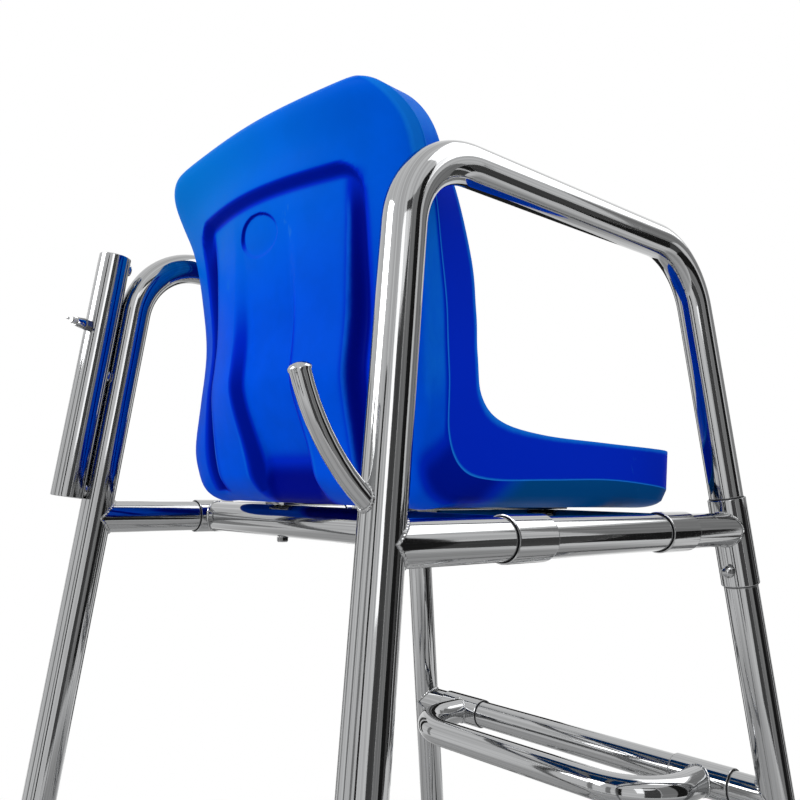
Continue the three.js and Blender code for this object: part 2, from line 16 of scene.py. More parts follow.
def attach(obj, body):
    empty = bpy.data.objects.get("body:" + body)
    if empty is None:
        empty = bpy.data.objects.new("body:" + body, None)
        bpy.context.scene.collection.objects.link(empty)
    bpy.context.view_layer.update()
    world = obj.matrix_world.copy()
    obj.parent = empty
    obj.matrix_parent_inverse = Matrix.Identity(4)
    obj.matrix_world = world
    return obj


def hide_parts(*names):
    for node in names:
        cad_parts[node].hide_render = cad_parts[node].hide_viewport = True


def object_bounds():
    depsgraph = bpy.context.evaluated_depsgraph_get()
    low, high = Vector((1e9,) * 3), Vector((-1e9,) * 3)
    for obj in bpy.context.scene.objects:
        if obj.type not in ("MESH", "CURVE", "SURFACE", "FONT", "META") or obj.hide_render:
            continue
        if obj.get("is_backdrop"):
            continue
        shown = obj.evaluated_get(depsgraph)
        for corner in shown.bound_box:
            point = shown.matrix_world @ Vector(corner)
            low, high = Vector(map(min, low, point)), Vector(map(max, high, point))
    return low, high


bl_info = {
    "name": "Lifeguard chair",
    "version": (1, 0, 0),
    "blender": (4, 5, 0),
    "location": "3D View > Sidebar > Chair",
    "description": "Builds a tall tube chair with a moulded seat and its studio",
    "category": "Add Mesh",
}

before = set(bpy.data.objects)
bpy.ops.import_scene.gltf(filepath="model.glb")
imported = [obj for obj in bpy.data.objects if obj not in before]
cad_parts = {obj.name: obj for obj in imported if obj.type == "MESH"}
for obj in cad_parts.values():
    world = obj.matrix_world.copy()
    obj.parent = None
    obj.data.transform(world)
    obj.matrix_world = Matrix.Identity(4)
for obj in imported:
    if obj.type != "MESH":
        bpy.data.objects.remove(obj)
SOLID_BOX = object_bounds()

RIGHT, LEFT = -1, 1
SIDES = ((RIGHT, "right"), (LEFT, "left"))
UP = Vector((0, 0, 1))
TUBE_SEGMENTS = 48
RIM_ROUNDING = 0.0007

# Gaps, fits and places in metres; heights count from the rails' axis
GAP = 0.00035
JOINT_GAP = 0.0004
POST_FOOT = 0.012
ARM_END = -0.008
LEG_TOP = -0.0094
TEE_BOLT_HEIGHT = -0.048
STEP_BOLT_OUT = 0.024
STEP_BOLT_TIP = 0.0077
BOLT_SHANK = 0.004
HEX_ACROSS = 0.013
FOOT_BORE = 0.01985
SEAT_BAR_SIZE = (0.04, 0.278)
SEAT_BAR_TOP = 0.02465
SEAT_BAR_SIDE = 0.1
SEAT_BAR_MIDDLE = -0.017
SEAT_BOLT_TIP = 0.038
HOOK_REAR, HOOK_HEIGHT = 0.285, 0.034
HOOK_RISE, HOOK_END = math.radians(40), math.radians(72)

# How far dirt spreads from a seam, and where a weld at a tube's end tints it
SEAM_REACH = 0.003
BEAD_OFF = 0.002
WELD_PLACE, WELD_REACH = 0.02, 0.014

# Profiles of small parts, as (radius, height)
BUTTON_HEAD = [
    (0, 0), (0.007, 0), (0.007, 0.0012), (0.0064, 0.0026), (0.0045, 0.0038), (0.0018, 0.0044), (0, 0.0045),
]
DOMED_NUT = [
    (0, 0), (0.0066, 0), (0.007, 0.0004), (0.007, 0.0048), (0.0062, 0.0056), (0.0058, 0.0072),
    (0.0046, 0.0092), (0.0026, 0.0106), (0, 0.0111),
]
HOOK_TIP = [
    (0, -0.0012), (0.0086, -0.0012), (0.0088, 0.0004), (0.0085, 0.0016), (0.0068, 0.0034),
    (0.0038, 0.0047), (0, 0.0052),
]
WING_HUB = [
    (0.0044, 0), (0.0062, 0), (0.0065, 0.0004), (0.0065, 0.002), (0.0053, 0.0106), (0.0049, 0.011),
    (0.0044, 0.011),
]

# Outline of one wing of the wing nut in millimetres, as (from its axis, up), and half its thickness in metres
WING_OUTLINE = [
    (4.6, 1.5), (7, 2.2), (10, 4.3), (12.6, 7.2), (13.8, 10.4), (13.9, 13), (12.9, 14.6), (11, 14.9),
    (9, 14), (7, 12), (5.4, 9.4), (4.6, 8),
]
WING_HALF = 0.0013

# The photograph's view
IMAGE_WIDTH = 800
FOCAL_PIXELS = 826.14
SENSOR_WIDTH = 36
CAMERA_PLACE = (-0.74076, 0.69719, 1.48263)
CAMERA_TURN = (-41.6559, 6.0167, 0.9573)


def length(name, description, default):
    return FloatProperty(name=name, description=description, default=default, unit="LENGTH", precision=4)


def number(name, description, default):
    return FloatProperty(name=name, description=description, default=default)


def colour(name, description, default):
    return FloatVectorProperty(
        name=name, description=description, default=default, subtype="COLOR", size=3, min=0, max=1
    )


class FrameSizes(bpy.types.PropertyGroup):
    """Sizes of the posts, rails and braces"""

    rail_height: length("Rail height", "Side rails' axis above the floor", 1.44)
    spacing: length("Post spacing", "Between the posts' axes at the rails, both ways", 0.54)
    arm_rise: length("Arm rise", "Armrest axis above the rails", 0.327)
    arm_bend: length("Arm bend", "Bend radius of the arm tubes", 0.082)
    tube_radius: length("Tube radius", "Outside radius of the main tubes", 0.01905)
    tube_wall: length("Tube wall", "Wall of every tube", 0.0015)
    sleeve_radius: length("Sleeve radius", "Outside radius of tees and collars", 0.0213)
    sleeve_bore: length("Sleeve bore", "Inside radius of tees and collars", 0.0198)
    collar_length: length("Collar length", "Length of the crossbars' collars", 0.053)
    rear_bar: length("Rear crossbar", "Place of the rear crossbar on the rails", 0.109)
    front_bar: length("Front crossbar", "Place of the front crossbar on the rails", -0.135)
    tee_top: length("Tee top", "Upper end of the tee sleeves", 0.036)
    tee_bottom: length("Tee bottom", "Lower end of the tee sleeves", -0.063)
    brace_radius: length("Brace radius", "Outside radius of the braces", 0.016)
    side_brace: length("Side brace", "Height of the side braces from the rails", -1.05)
    upper_brace: length("Upper brace", "Height of the upper rear brace", -0.56)
    lower_brace: length("Lower brace", "Height of the lower rear brace", -1.12)
    rear_splay: number("Rear splay", "Outward slope of the rear posts", 0.058)
    rear_lean: number("Rear lean", "Rearward slope of the rear posts", 0.122)
    front_splay: number("Front splay", "Outward slope of the front posts", 0.072)
    front_lean: number("Front lean", "Forward slope of the front posts", 0.157)


class StepSizes(bpy.types.PropertyGroup):
    """Sizes of the steps"""

    count: IntProperty(name="Steps", description="Number of steps in the frame", default=4, min=1, max=4)
    first: length("First step", "Height of the top step from the rails", -0.308)
    pitch: length("Pitch", "Drop from step to step", 0.277)
    depth: length("Loop depth", "From the bar's axis to the loop's rear axis", 0.122)
    half_width: length("Loop half width", "From the middle to the loop's ends", 0.203)
    bend: length("Loop bend", "Bend radius of the loop", 0.075)
    radius: length("Loop radius", "Outside radius of the loop's tube", 0.018)
    collar: length("Step collar", "Length of the loop's collars", 0.076)


class FittingSizes(bpy.types.PropertyGroup):
    """Sizes of the umbrella holder, its clamp, the hook and the feet"""

    holder_bottom: length("Holder bottom", "Lower end of the holder from the rails", 0.02)
    holder_top: length("Holder top", "Upper end of the holder from the rails", 0.318)
    clamp_height: length("Clamp height", "Height of the clamp screw from the rails", 0.225)
    clamp_turn: FloatProperty(
        name="Clamp turn",
        description="Turn of the screw about the post",
        default=math.radians(20),
        subtype="ANGLE",
    )
    hook_radius: length("Hook radius", "Radius of the hook's bar", 0.008)
    hook_arc: length("Hook arc", "Bend radius of the hook", 0.196)
    foot_height: length("Foot height", "Height of the rubber feet", 0.055)
    foot_top: length("Foot top", "Radius of a foot's upper rim", 0.0235)
    foot_base: length("Foot base", "Radius of a foot's base", 0.0278)


class ChairFinishes(bpy.types.PropertyGroup):
    """Colours and gloss"""

    steel: colour("Steel", "Polished steel", (0.46, 0.465, 0.47))
    heat: colour("Heat tint", "Steel beside a weld", (0.34, 0.27, 0.2))
    soil: colour("Soil", "Dark matter in the joints", (0.02, 0.021, 0.024))
    seat: colour("Seat", "Moulded plastic", (0.0, 0.088, 0.8))
    # Painted light: the seat's upper part, and most of all its left side, is paler where the light falls.
    seat_lit: colour("Seat faded", "Plastic that the sun has faded", (0.0, 0.2, 0.72))
    # Painted highlight on the rims, the upper sides and the ridges' edges, mixed with real scuffs.
    seat_highlight_and_scuff: colour("Seat edge", "Plastic worn paler at the edges", (0.006, 0.2, 0.86))
    # Painted highlight along the parting line.
    seat_line_highlight: colour("Seat line", "Parting line of the two halves", (0.06, 0.36, 0.9))
    # Painted shade on the turned-down sides.
    seat_shade: colour("Seat shade", "Plastic on the turned-down sides", (0.0, 0.026, 0.66))
    # Painted shade in the grooves, the panel's step, the disc's wall and the lower corners.
    seat_groove_shade: colour("Seat deep", "Plastic in the grooves", (0.0, 0.004, 0.26))
    # Painted shade on the pan's underside and lower sides, which face down.
    seat_underside_shade: colour("Seat foot", "Plastic of the lower rim", (0.0, 0.085, 0.32))
    rubber: colour("Rubber", "Feet", (0.014, 0.014, 0.015))
    floor: colour("Floor", "Pale studio floor", (0.8, 0.8, 0.8))
    steel_roughness: number("Steel roughness", "Polish of the steel", 0.05)
    seat_roughness: number("Seat roughness", "Gloss of the plastic", 0.34)


def sizes():
    return bpy.context.scene.chair_frame


def rail_origin():
    """The rails' height over the floor, with the feet centred under the object."""
    s = sizes()
    return Vector((0, (s.front_lean - s.rear_lean) * s.rail_height / 2, s.rail_height))


def rear_post(side, z):
    s = sizes()
    return Vector((side * (s.spacing / 2 - s.rear_splay * z), s.spacing / 2 - s.rear_lean * z, z))


def front_post(side, z):
    s = sizes()
    return Vector((side * (s.spacing / 2 - s.front_splay * z), -s.spacing / 2 + s.front_lean * z, z))


def smooth(value, low, high):
    share = min(1.0, max(0.0, (value - low) / (high - low)))
    return share * share * (3 - 2 * share)


# Shaders


class Value:
    """A socket that adds Math nodes to its tree where it is used in an expression."""

    def __init__(self, finish, socket):
        self.finish = finish
        self.socket = socket

    def _maths(self, operation, first, second):
        return self.finish.node("ShaderNodeMath", {0: first, 1: second}, operation=operation)

    def __add__(self, other):
        return self._maths("ADD", self, other)

    def __sub__(self, other):
        return self._maths("SUBTRACT", self, other)

    def __rsub__(self, other):
        return self._maths("SUBTRACT", other, self)

    def __mul__(self, other):
        return self._maths("MULTIPLY", self, other)

    __radd__ = __add__
    __rmul__ = __mul__

    def output(self, key):
        """Another output of the same node."""
        return Value(self.finish, self.socket.node.outputs[key])


class Finish:
    """A node tree of a material or of the world, built a node at a time."""

    def __init__(self, owner):
        owner.use_nodes = True
        self.owner = owner
        self.tree = owner.node_tree
        self.tree.nodes.clear()

    def node(self, kind, sockets=None, output=0, **settings):
        new = self.tree.nodes.new(kind)
        for key, value in settings.items():
            setattr(new, key, value)
        for key, value in (sockets or {}).items():
            if isinstance(value, Value):
                self.tree.links.new(value.socket, new.inputs[key])
            else:
                new.inputs[key].default_value = value
        return Value(self, new.outputs[output]) if new.outputs else new

    def blend(self, mask, first, second):
        return self.node("ShaderNodeMix", {0: mask, 6: first, 7: second}, output=2, data_type="RGBA")

    def noise(self, vector, scale, detail=3.0, roughness=0.5):
        return self.node(
            "ShaderNodeTexNoise", {"Vector": vector, "Scale": scale, "Detail": detail, "Roughness": roughness}
        )

    def ease(self, value, low, high):
        return self.node(
            "ShaderNodeMapRange", {0: value, 1: low, 2: high}, interpolation_type="SMOOTHSTEP"
        )

    def attribute(self, name):
        return self.node("ShaderNodeAttribute", output=2, attribute_name=name)

    def place(self, scale=(1, 1, 1)):
        here = self.node("ShaderNodeTexCoord", output=3)
        return self.node("ShaderNodeMapping", {"Vector": here, "Scale": scale})

    def bump(self, height, strength, distance):
        return self.node("ShaderNodeBump", {"Height": height, "Strength": strength, "Distance": distance})

    def surface(self, **sockets):
        named = {key.replace("_", " "): value for key, value in sockets.items()}
        shader = self.node("ShaderNodeBsdfPrincipled", named)
        self.node("ShaderNodeOutputMaterial", {"Surface": shader})
        return self.owner


def rgba(value, share=1):
    return (*(part * share for part in value), 1)


def seen_rays(f):
    """1 where the camera, a mirror or glass looks at the surroundings, and 0 for their light."""
    ray = f.node("ShaderNodeLightPath")
    return ray + ray.output("Is Glossy Ray") + ray.output("Is Transmission Ray")


def tube_wrap(f, across, along):
    """Coordinates that go round a tube without a seam and run along it."""
    wrap = f.node("ShaderNodeUVMap", uv_map="Wrap")
    split = f.node("ShaderNodeSeparateXYZ", {0: wrap})
    turn = split * (2 * math.pi)
    ring_x = f.node("ShaderNodeMath", {0: turn}, operation="COSINE") * across
    ring_y = f.node("ShaderNodeMath", {0: turn}, operation="SINE") * across
    run = split.output(1) * along
    return f.node("ShaderNodeCombineXYZ", {0: ring_x, 1: ring_y, 2: run})


def steel_finish():
    """Mirror-polished stainless: faint draw lines, dark joints and heat-tinted welds."""
    look = bpy.context.scene.chair_finishes
    f = Finish(bpy.data.materials.new("polished_steel_tube"))
    lines = f.noise(tube_wrap(f, 9, 1.5), 1.0, 5, 0.65)
    waves = f.noise(tube_wrap(f, 1.6, 7), 1.0, 2, 0.5)
    smudge = f.noise(f.place(), 22, 4, 0.6)
    soil = f.attribute("soil")
    heat = f.attribute("heat")
    grain = f.noise(f.place(), 900, 2, 0.6)
    clean = f.blend(f.ease(lines, 0.35, 0.68), rgba(look.steel), rgba(look.steel, 0.68))
    tinted = f.blend(f.ease(heat + smudge * 0.35, 0.25, 1.0), clean, rgba(look.heat))
    colour_out = f.blend(f.ease(soil + grain * 0.2, 0.3, 0.9), tinted, rgba(look.soil))
    rough = look.steel_roughness + f.ease(smudge, 0.52, 0.8) * 0.07 + lines * 0.03 + heat * 0.22 + soil * 0.4
    relief = f.bump(waves * 0.7 + lines * 0.06 + heat * grain * 0.4, 0.35, 0.0006)
    return f.surface(Base_Color=colour_out, Roughness=rough, Metallic=1 - soil * 0.7, Normal=relief)


def seat_finish():
    """Moulded plastic with a fine pebble and scuffs; painted light makes it paler on its upper left, rims and
    ridges' edges, and painted shade darkens its sides, grooves and underside.
    """
    look = bpy.context.scene.chair_finishes
    f = Finish(bpy.data.materials.new("moulded_blue_plastic"))
    here = f.place()
    edge = f.attribute("edge")
    deep = f.attribute("deep")
    cloud = f.noise(here, 9, 4, 0.6)
    scuff = f.noise(f.place((1, 1, 0.25)), 160, 3, 0.7)
    pebble = f.noise(here, 1400, 2, 0.5)
    flow = f.noise(here, 60, 2, 0.5)
    aside = f.node("ShaderNodeSeparateXYZ", {0: here})
    high = aside.output(2) - rail_origin().z
    # Painted light: paler towards the top of the back, and most on its left side.
    sun = f.ease(high, 0.2, 0.42) * (0.25 + f.ease(aside, -0.22, 0.2) * 0.75)
    base = f.blend(f.ease(cloud, 0.3, 0.7), rgba(look.seat, 0.9), rgba(look.seat, 1.1))
    lit = f.blend(sun, base, rgba(look.seat_lit))
    # Painted shade: the turned-down sides, and darker still in the grooves, the panel's step, the disc's wall
    # and the lower corners.
    turned = f.blend(f.ease(deep, 0.0, 0.5), lit, rgba(look.seat_shade))
    shaded = f.blend(f.ease(deep, 0.45, 1.0), turned, rgba(look.seat_groove_shade))
    # Painted highlight on the rims, the sides and the ridges' edges, mixed with real scuffs.
    highlit_and_scuffed = f.blend(f.ease(edge + scuff * 0.25, 0.25, 1.0), shaded, rgba(look.seat_highlight_and_scuff))
    # Painted highlight along the parting line, where the edge attribute is near 1.
    seam = f.ease(edge, 0.9, 1.0)
    lined = f.blend(seam * 0.8, highlit_and_scuffed, rgba(look.seat_line_highlight))
    # Painted shade on the pan's underside and lower sides.
    based = f.blend(f.attribute("foot") * (1 - seam), lined, rgba(look.seat_underside_shade))
    marks = f.ease(scuff * f.ease(cloud, 0.5, 0.75), 0.42, 0.6)
    colour_out = f.blend(marks * 0.3, based, (0.04, 0.26, 0.72, 1))
    rough = look.seat_roughness + cloud * 0.1 + marks * 0.18
    relief = f.bump(pebble * 0.5 + flow * 0.35 + scuff * 0.1, 1.0, 0.00012)
    return f.surface(
        Base_Color=colour_out,
        Roughness=rough,
        Normal=relief,
        Specular_IOR_Level=0.01,
        Specular_Tint=(0.1, 0.5, 1, 1),
    )


def rubber_finish():
    """Black moulded rubber with a dusty, scuffed foot."""
    look = bpy.context.scene.chair_finishes
    f = Finish(bpy.data.materials.new("black_foot_rubber"))
    here = f.place()
    height = f.node("ShaderNodeSeparateXYZ", {0: here}).output(2)
    scrape = f.noise(f.place((1, 1, 3)), 70, 5, 0.65)
    dust = f.ease(scrape * 1.4 - height * 18, 0.25, 0.75)
    colour_out = f.blend(dust * 0.45, rgba(look.rubber), (0.17, 0.16, 0.15, 1))
    relief = f.bump(f.noise(here, 800, 3, 0.6), 0.4, 0.0004)
    return f.surface(Base_Color=colour_out, Roughness=0.62 + scrape * 0.22, Normal=relief)


# Meshes


class TubePath:
    """Straight runs between corners, each inner corner turned on an arc, with closer rings beside marks."""

    NEAR = (-0.03, -0.018, -0.011, -0.006, -0.003, 0.0, 0.003, 0.006, 0.011, 0.018, 0.03)

    def __init__(self, corners, bend=0.0, marks=()):
        self.stations = []
        self.marks = marks
        self.run = 0.0
        direction = (corners[1] - corners[0]).normalized()
        start = corners[0]
        for corner, after in zip(corners[1:-1], corners[2:]):
            out = (after - corner).normalized()
            turn = direction.angle(out)
            entry = corner - direction * (bend * math.tan(turn / 2))
            self.straight(start, entry, direction)
            start = self.arc(entry, direction, out, turn, bend)
            direction = out
        self.straight(start, corners[-1], direction)

    def straight(self, start, end, direction):
        span = (end - start).length
        near = {m + d - self.run for m in self.marks for d in self.NEAR}
        places = [0.0, *sorted(p for p in near if 0.001 < p < span - 0.001), span]
        for place in places:
            self.stations.append((start + direction * place, direction, self.run + place))
        self.run += span

    def arc(self, entry, into, out, turn, bend):
        axis = into.cross(out).normalized()
        centre = entry + axis.cross(into) * bend
        steps = max(2, math.ceil(math.degrees(turn) / 4))
        for k in range(1, steps):
            spin = Matrix.Rotation(turn * k / steps, 3, axis)
            self.stations.append(
                (centre + spin @ (entry - centre), spin @ into, self.run + bend * turn * k / steps)
            )
        self.run += bend * turn
        return centre + Matrix.Rotation(turn, 3, axis) @ (entry - centre)


def new_mesh():
    bm = bmesh.new()
    for name in ("around", "along", "soil", "heat", "edge", "deep", "foot"):
        bm.verts.layers.float.new(name)
    return bm


def layer(bm, name):
    return bm.verts.layers.float[name]


def fresh(bm, known):
    """The vertices that were made since the known ones were listed."""
    return [vert for vert in bm.verts if vert not in known]


def sweep(bm, path, radius, segments=TUBE_SEGMENTS):
    """Carries a circle along a path and gives back its first and last rings' edges."""
    around, along = layer(bm, "around"), layer(bm, "along")
    point, tangent, run = path.stations[0]
    made = bmesh.ops.create_circle(bm, segments=segments, radius=radius, matrix=facing(point, tangent))
    verts = made["verts"]
    for i, vert in enumerate(verts):
        vert[around] = i / segments
        vert[along] = run
    edges = list({edge for vert in verts for edge in vert.link_edges})
    first = list(edges)
    for before, after in zip(path.stations, path.stations[1:]):
        grown = bmesh.ops.extrude_edge_only(bm, edges=edges)["geom"]
        verts = [part for part in grown if isinstance(part, bmesh.types.BMVert)]
        ring = set(verts)
        edges = [
            part for part in grown if isinstance(part, bmesh.types.BMEdge) and ring.issuperset(part.verts)
        ]
        turn = before[1].rotation_difference(after[1]).to_matrix().to_4x4()
        move = Matrix.Translation(after[0]) @ turn @ Matrix.Translation(-before[0])
        bmesh.ops.transform(bm, matrix=move, space=Matrix.Identity(4), verts=verts)
        for vert in verts:
            vert[along] = after[2]
    return first, edges


def crossing(point, direction, post):
    """How far from a point, along a direction, a post's surface lies."""
    centre, axis, radius = post
    across = direction - axis * direction.dot(axis)
    offset = (point - centre) - axis * (point - centre).dot(axis)
    a, b, c = across.dot(across), across.dot(offset), offset.dot(offset) - radius * radius
    return (-b + math.sqrt(max(0.0, b * b - a * c))) / a


def tube(bm, path, radius, wall=None, cope=(None, None), segments=TUBE_SEGMENTS):
    """A tube with a bore, its ends cut to fit round the posts that they meet."""
    wall = sizes().tube_wall if wall is None else wall
    outer = sweep(bm, path, radius, segments)
    inner = sweep(bm, path, radius - wall, segments)
    for end, post, direction in zip((0, 1), cope, (path.stations[0][1], -path.stations[-1][1])):
        rims = outer[end] + inner[end]
        if post:
            for vert in {vert for edge in rims for vert in edge.verts}:
                vert.co += direction * crossing(vert.co, direction, post)
        bmesh.ops.bridge_loops(bm, edges=rims)


def lathe(bm, profile, place, steps=TUBE_SEGMENTS, closed=False):
    """Spins a profile of (radius, height) points about Z, then puts it in place."""
    known = set(bm.verts)
    verts = [bm.verts.new((r, 0, h)) for r, h in profile]
    edges = [bm.edges.new(pair) for pair in zip(verts, verts[1:])]
    if closed:
        edges.append(bm.edges.new((verts[-1], verts[0])))
    bmesh.ops.spin(
        bm, geom=verts + edges, cent=(0, 0, 0), axis=UP, angle=2 * math.pi, steps=steps, use_merge=True
    )
    bmesh.ops.remove_doubles(bm, verts=fresh(bm, known), dist=1e-6)
    made = fresh(bm, known)
    around, along = layer(bm, "around"), layer(bm, "along")
    for vert in made:
        vert[around] = math.atan2(vert.co.y, vert.co.x) / (2 * math.pi) % 1
        vert[along] = vert.co.z
    bmesh.ops.transform(bm, matrix=place, space=Matrix.Identity(4), verts=made)
    return made


def facing(point, direction):
    return Matrix.Translation(point) @ UP.rotation_difference(direction).to_matrix().to_4x4()


def sleeve(bm, low, high, radius=None, bore=None):
    """A collar between two points, with rounded rims and dirt in its bore."""
    s = sizes()
    radius, bore = radius or s.sleeve_radius, bore or s.sleeve_bore
    span, r = (high - low).length, RIM_ROUNDING
    rim = [(bore, 0), (radius - r, 0), (radius - 0.3 * r, 0.3 * r)] + [(radius, k * r) for k in (1, 2, 4)]
    profile = rim + [(across, span - place) for across, place in reversed(rim)]
    soil = layer(bm, "soil")
    for vert in lathe(bm, profile, facing(low, high - low), closed=True):
        reach = (vert.co - low).cross((high - low).normalized()).length
        vert[soil] = 1.0 if reach < bore + 1e-4 else 0.0


def weld_bead(bm, point, direction, radius, post, size=0.0021, ripples=44):
    """A rippled bead of weld round a tube's end, where the tube meets a post."""
    turns = [2 * math.pi * k / 10 for k in range(10)]
    profile = [(radius + size * 0.9 * math.cos(a), size * math.sin(a)) for a in turns]
    heat = layer(bm, "heat")
    place = facing(point, direction)
    back = place.inverted()
    for vert in lathe(bm, profile, place, steps=132, closed=True):
        local = back @ vert.co
        angle = math.atan2(local.y, local.x)
        ring = Vector((math.cos(angle), math.sin(angle), 0)) * radius
        swell = 1 + 0.22 * abs(math.sin(angle * ripples / 2)) + 0.15 * noise.noise(local * 300)
        off = (local - ring) * swell
        start = place @ ring
        vert.co = start + direction * crossing(start, direction, post) + place.to_3x3() @ off
        vert[heat] = 0.75


def mark_tube(bm, marks):
    """Darkens a tube's seams and tints it beside its welds. Marks are (along, kind, reach)."""
    along, soil, heat = layer(bm, "along"), layer(bm, "soil"), layer(bm, "heat")
    for vert in bm.verts:
        for place, kind, reach in marks:
            near = 1 - smooth(abs(vert[along] - place), 0.0, reach)
            chosen = soil if kind == "soil" else heat
            vert[chosen] = max(vert[chosen], near)


def end_welds(path):
    """Marks for the tint beside the welds at both ends of a tube."""
    return [(WELD_PLACE, "heat", WELD_REACH), (path.run - WELD_PLACE, "heat", WELD_REACH)]


def hex_bolt(bm, base, tip, head=0.0055):
    """A chamfered hexagonal head on its shank."""
    place = facing(base, (base - tip).normalized())
    corner, end = HEX_ACROSS / math.sqrt(3), -(base - tip).length
    profile = [(0, 0), (corner, 0), (corner, head * 0.72), (corner * 0.84, head), (0, head)]
    lathe(bm, profile, place, steps=6)
    lathe(bm, [(0, 0.001), (BOLT_SHANK, 0.001), (BOLT_SHANK, end), (0, end)], place, steps=24)


def write_wrap(bm):
    """Keeps round and along as the UV map that the tube patterns follow."""
    around, along = layer(bm, "around"), layer(bm, "along")
    uv = bm.loops.layers.uv.new("Wrap")
    for face in bm.faces:
        values = [loop.vert[around] for loop in face.loops]
        wraps = max(values) - min(values) > 0.5
        for loop, value in zip(face.loops, values):
            loop[uv].uv = (value + 1 if wraps and value < 0.5 else value, loop.vert[along])


def finish_piece(bm, name, material, nodes, body="frame", sharp=32):
    """Turns a mesh into a piece that rides on its body and stands for its solids."""
    bmesh.ops.translate(bm, vec=rail_origin(), verts=bm.verts)
    bmesh.ops.recalc_face_normals(bm, faces=bm.faces)
    write_wrap(bm)
    mesh = bpy.data.meshes.new(name)
    bm.to_mesh(mesh)
    bm.free()
    mesh.shade_smooth()
    mesh.set_sharp_from_angle(angle=math.radians(sharp))
    mesh.materials.append(material)
    piece = bpy.data.objects.new(name, mesh)
    bpy.context.scene.collection.objects.link(piece)
    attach(piece, body)
    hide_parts(*nodes)
    return piece


def steel_piece(bm, name, nodes, body="frame", sharp=32):
    material = bpy.data.materials.get("polished_steel_tube") or steel_finish()
    return finish_piece(bm, name, material, nodes, body, sharp)


def post_surface(post, side, z, radius):
    return post(side, z), (post(side, z + 1) - post(side, z)).normalized(), radius


# Operators


class CHAIR_OT_arm_tubes(bpy.types.Operator):
    """Bends each rear post, armrest and upper front post from one tube"""

    bl_idname = "chair.arm_tubes"
    bl_label = "Arm tubes"

    def execute(self, context):
        s = sizes()
        for side, word in SIDES:
            low, end = rear_post(side, POST_FOOT - s.rail_height), front_post(side, ARM_END)
            corners = [low, rear_post(side, s.arm_rise), front_post(side, s.arm_rise), end]
            rail, side_brace, upper_brace = (
                (rear_post(side, z) - low).length for z in (0, s.side_brace, s.upper_brace)
            )
            tee = TubePath(corners, s.arm_bend).run - (front_post(side, s.tee_top) - end).length
            path = TubePath(corners, s.arm_bend, marks=[rail, side_brace, upper_brace, tee])
            bm = new_mesh()
            tube(bm, path, s.tube_radius)
            welds = [rail - s.tube_radius - BEAD_OFF, rail + s.tube_radius + BEAD_OFF]
            mark_tube(bm, [(w, "heat", 0.012) for w in welds] + [(tee, "soil", SEAM_REACH)])
            steel_piece(bm, f"{word}_polished_arm_tube", [f"{word}_arm_tube"])
        return {"FINISHED"}


class CHAIR_OT_front_legs(bpy.types.Operator):
    """Makes the lower front legs with the tees and through bolts that join them to the arm tubes"""

    bl_idname = "chair.front_legs"
    bl_label = "Front legs and tees"

    def execute(self, context):
        s = sizes()
        for side, word in SIDES:
            self.leg(s, side, word)
            self.tee(s, side, word)
            self.tee_bolt(s, side, word)
        return {"FINISHED"}

    def leg(self, s, side, word):
        top, bottom = front_post(side, LEG_TOP), front_post(side, POST_FOOT - s.rail_height)
        steps = bpy.context.scene.chair_steps
        seam = (front_post(side, s.tee_bottom) - top).length
        heights = [steps.first - i * steps.pitch for i in range(steps.count)]
        welds = [(front_post(side, z) - top).length for z in heights]
        path = TubePath([top, bottom], marks=[seam, *welds])
        bm = new_mesh()
        tube(bm, path, s.tube_radius)
        reach = s.tube_radius + BEAD_OFF
        marks = [(w + sign * reach, "heat", 0.01) for w in welds for sign in (-1, 1)]
        mark_tube(bm, [(seam, "soil", SEAM_REACH), *marks])
        steel_piece(bm, f"{word}_polished_front_leg", [f"{word}_front_leg"])

    def tee(self, s, side, word):
        bm = new_mesh()
        low, high = front_post(side, s.tee_bottom), front_post(side, s.tee_top)
        sleeve(bm, low, high)
        x = side * s.spacing / 2
        centre, end = Vector((x, -s.spacing / 2, 0)), Vector((x, s.front_bar - JOINT_GAP, 0))
        body = post_surface(front_post, side, 0, s.sleeve_radius)
        tube(bm, TubePath([centre, end]), s.tube_radius, cope=(body, None))
        weld_bead(bm, centre, Vector((0, 1, 0)), s.tube_radius, body, size=0.0015)
        steel_piece(bm, f"{word}_polished_front_tee", [f"{word}_front_tee"])

    def tee_bolt(self, s, side, word):
        bm = new_mesh()
        centre = front_post(side, TEE_BOLT_HEIGHT)
        head = max(r for r, _ in BUTTON_HEAD)
        seat = s.sleeve_radius * math.hypot(1, s.front_lean) + head * s.front_lean + GAP
        front, rear = Vector((0, -1, 0)), Vector((0, 1, 0))
        lathe(bm, BUTTON_HEAD, facing(centre + front * seat, front))
        lathe(bm, DOMED_NUT, facing(centre + rear * seat, rear))
        low, high = -seat - 0.001, seat + 0.001
        shank = [(0, low), (BOLT_SHANK, low), (BOLT_SHANK, high), (0, high)]
        lathe(bm, shank, facing(centre, rear), steps=24)
        steel_piece(bm, f"{word}_polished_tee_bolt", [f"{word}_tee_bolt"])


class CHAIR_OT_side_rails(bpy.types.Operator):
    """Makes the side rails, coped and welded to the rear posts"""

    bl_idname = "chair.side_rails"
    bl_label = "Side rails"

    def execute(self, context):
        s = sizes()
        for side, word in SIDES:
            x = side * s.spacing / 2
            start, end = Vector((x, s.spacing / 2, 0)), Vector((x, s.front_bar + JOINT_GAP, 0))
            post = post_surface(rear_post, side, 0, s.tube_radius)
            edge = s.spacing / 2 - (s.rear_bar + s.collar_length / 2)
            seams = [edge, edge + s.collar_length, start.y - end.y - s.collar_length / 2]
            bm = new_mesh()
            tube(bm, TubePath([start, end], marks=[*seams, 0.03]), s.tube_radius, cope=(post, None))
            mark_tube(bm, [(0.008, "heat", 0.018)] + [(seam, "soil", SEAM_REACH) for seam in seams])
            weld_bead(bm, start, Vector((0, -1, 0)), s.tube_radius, post)
            steel_piece(bm, f"{word}_polished_side_rail", [f"{word}_side_rail"])
        return {"FINISHED"}


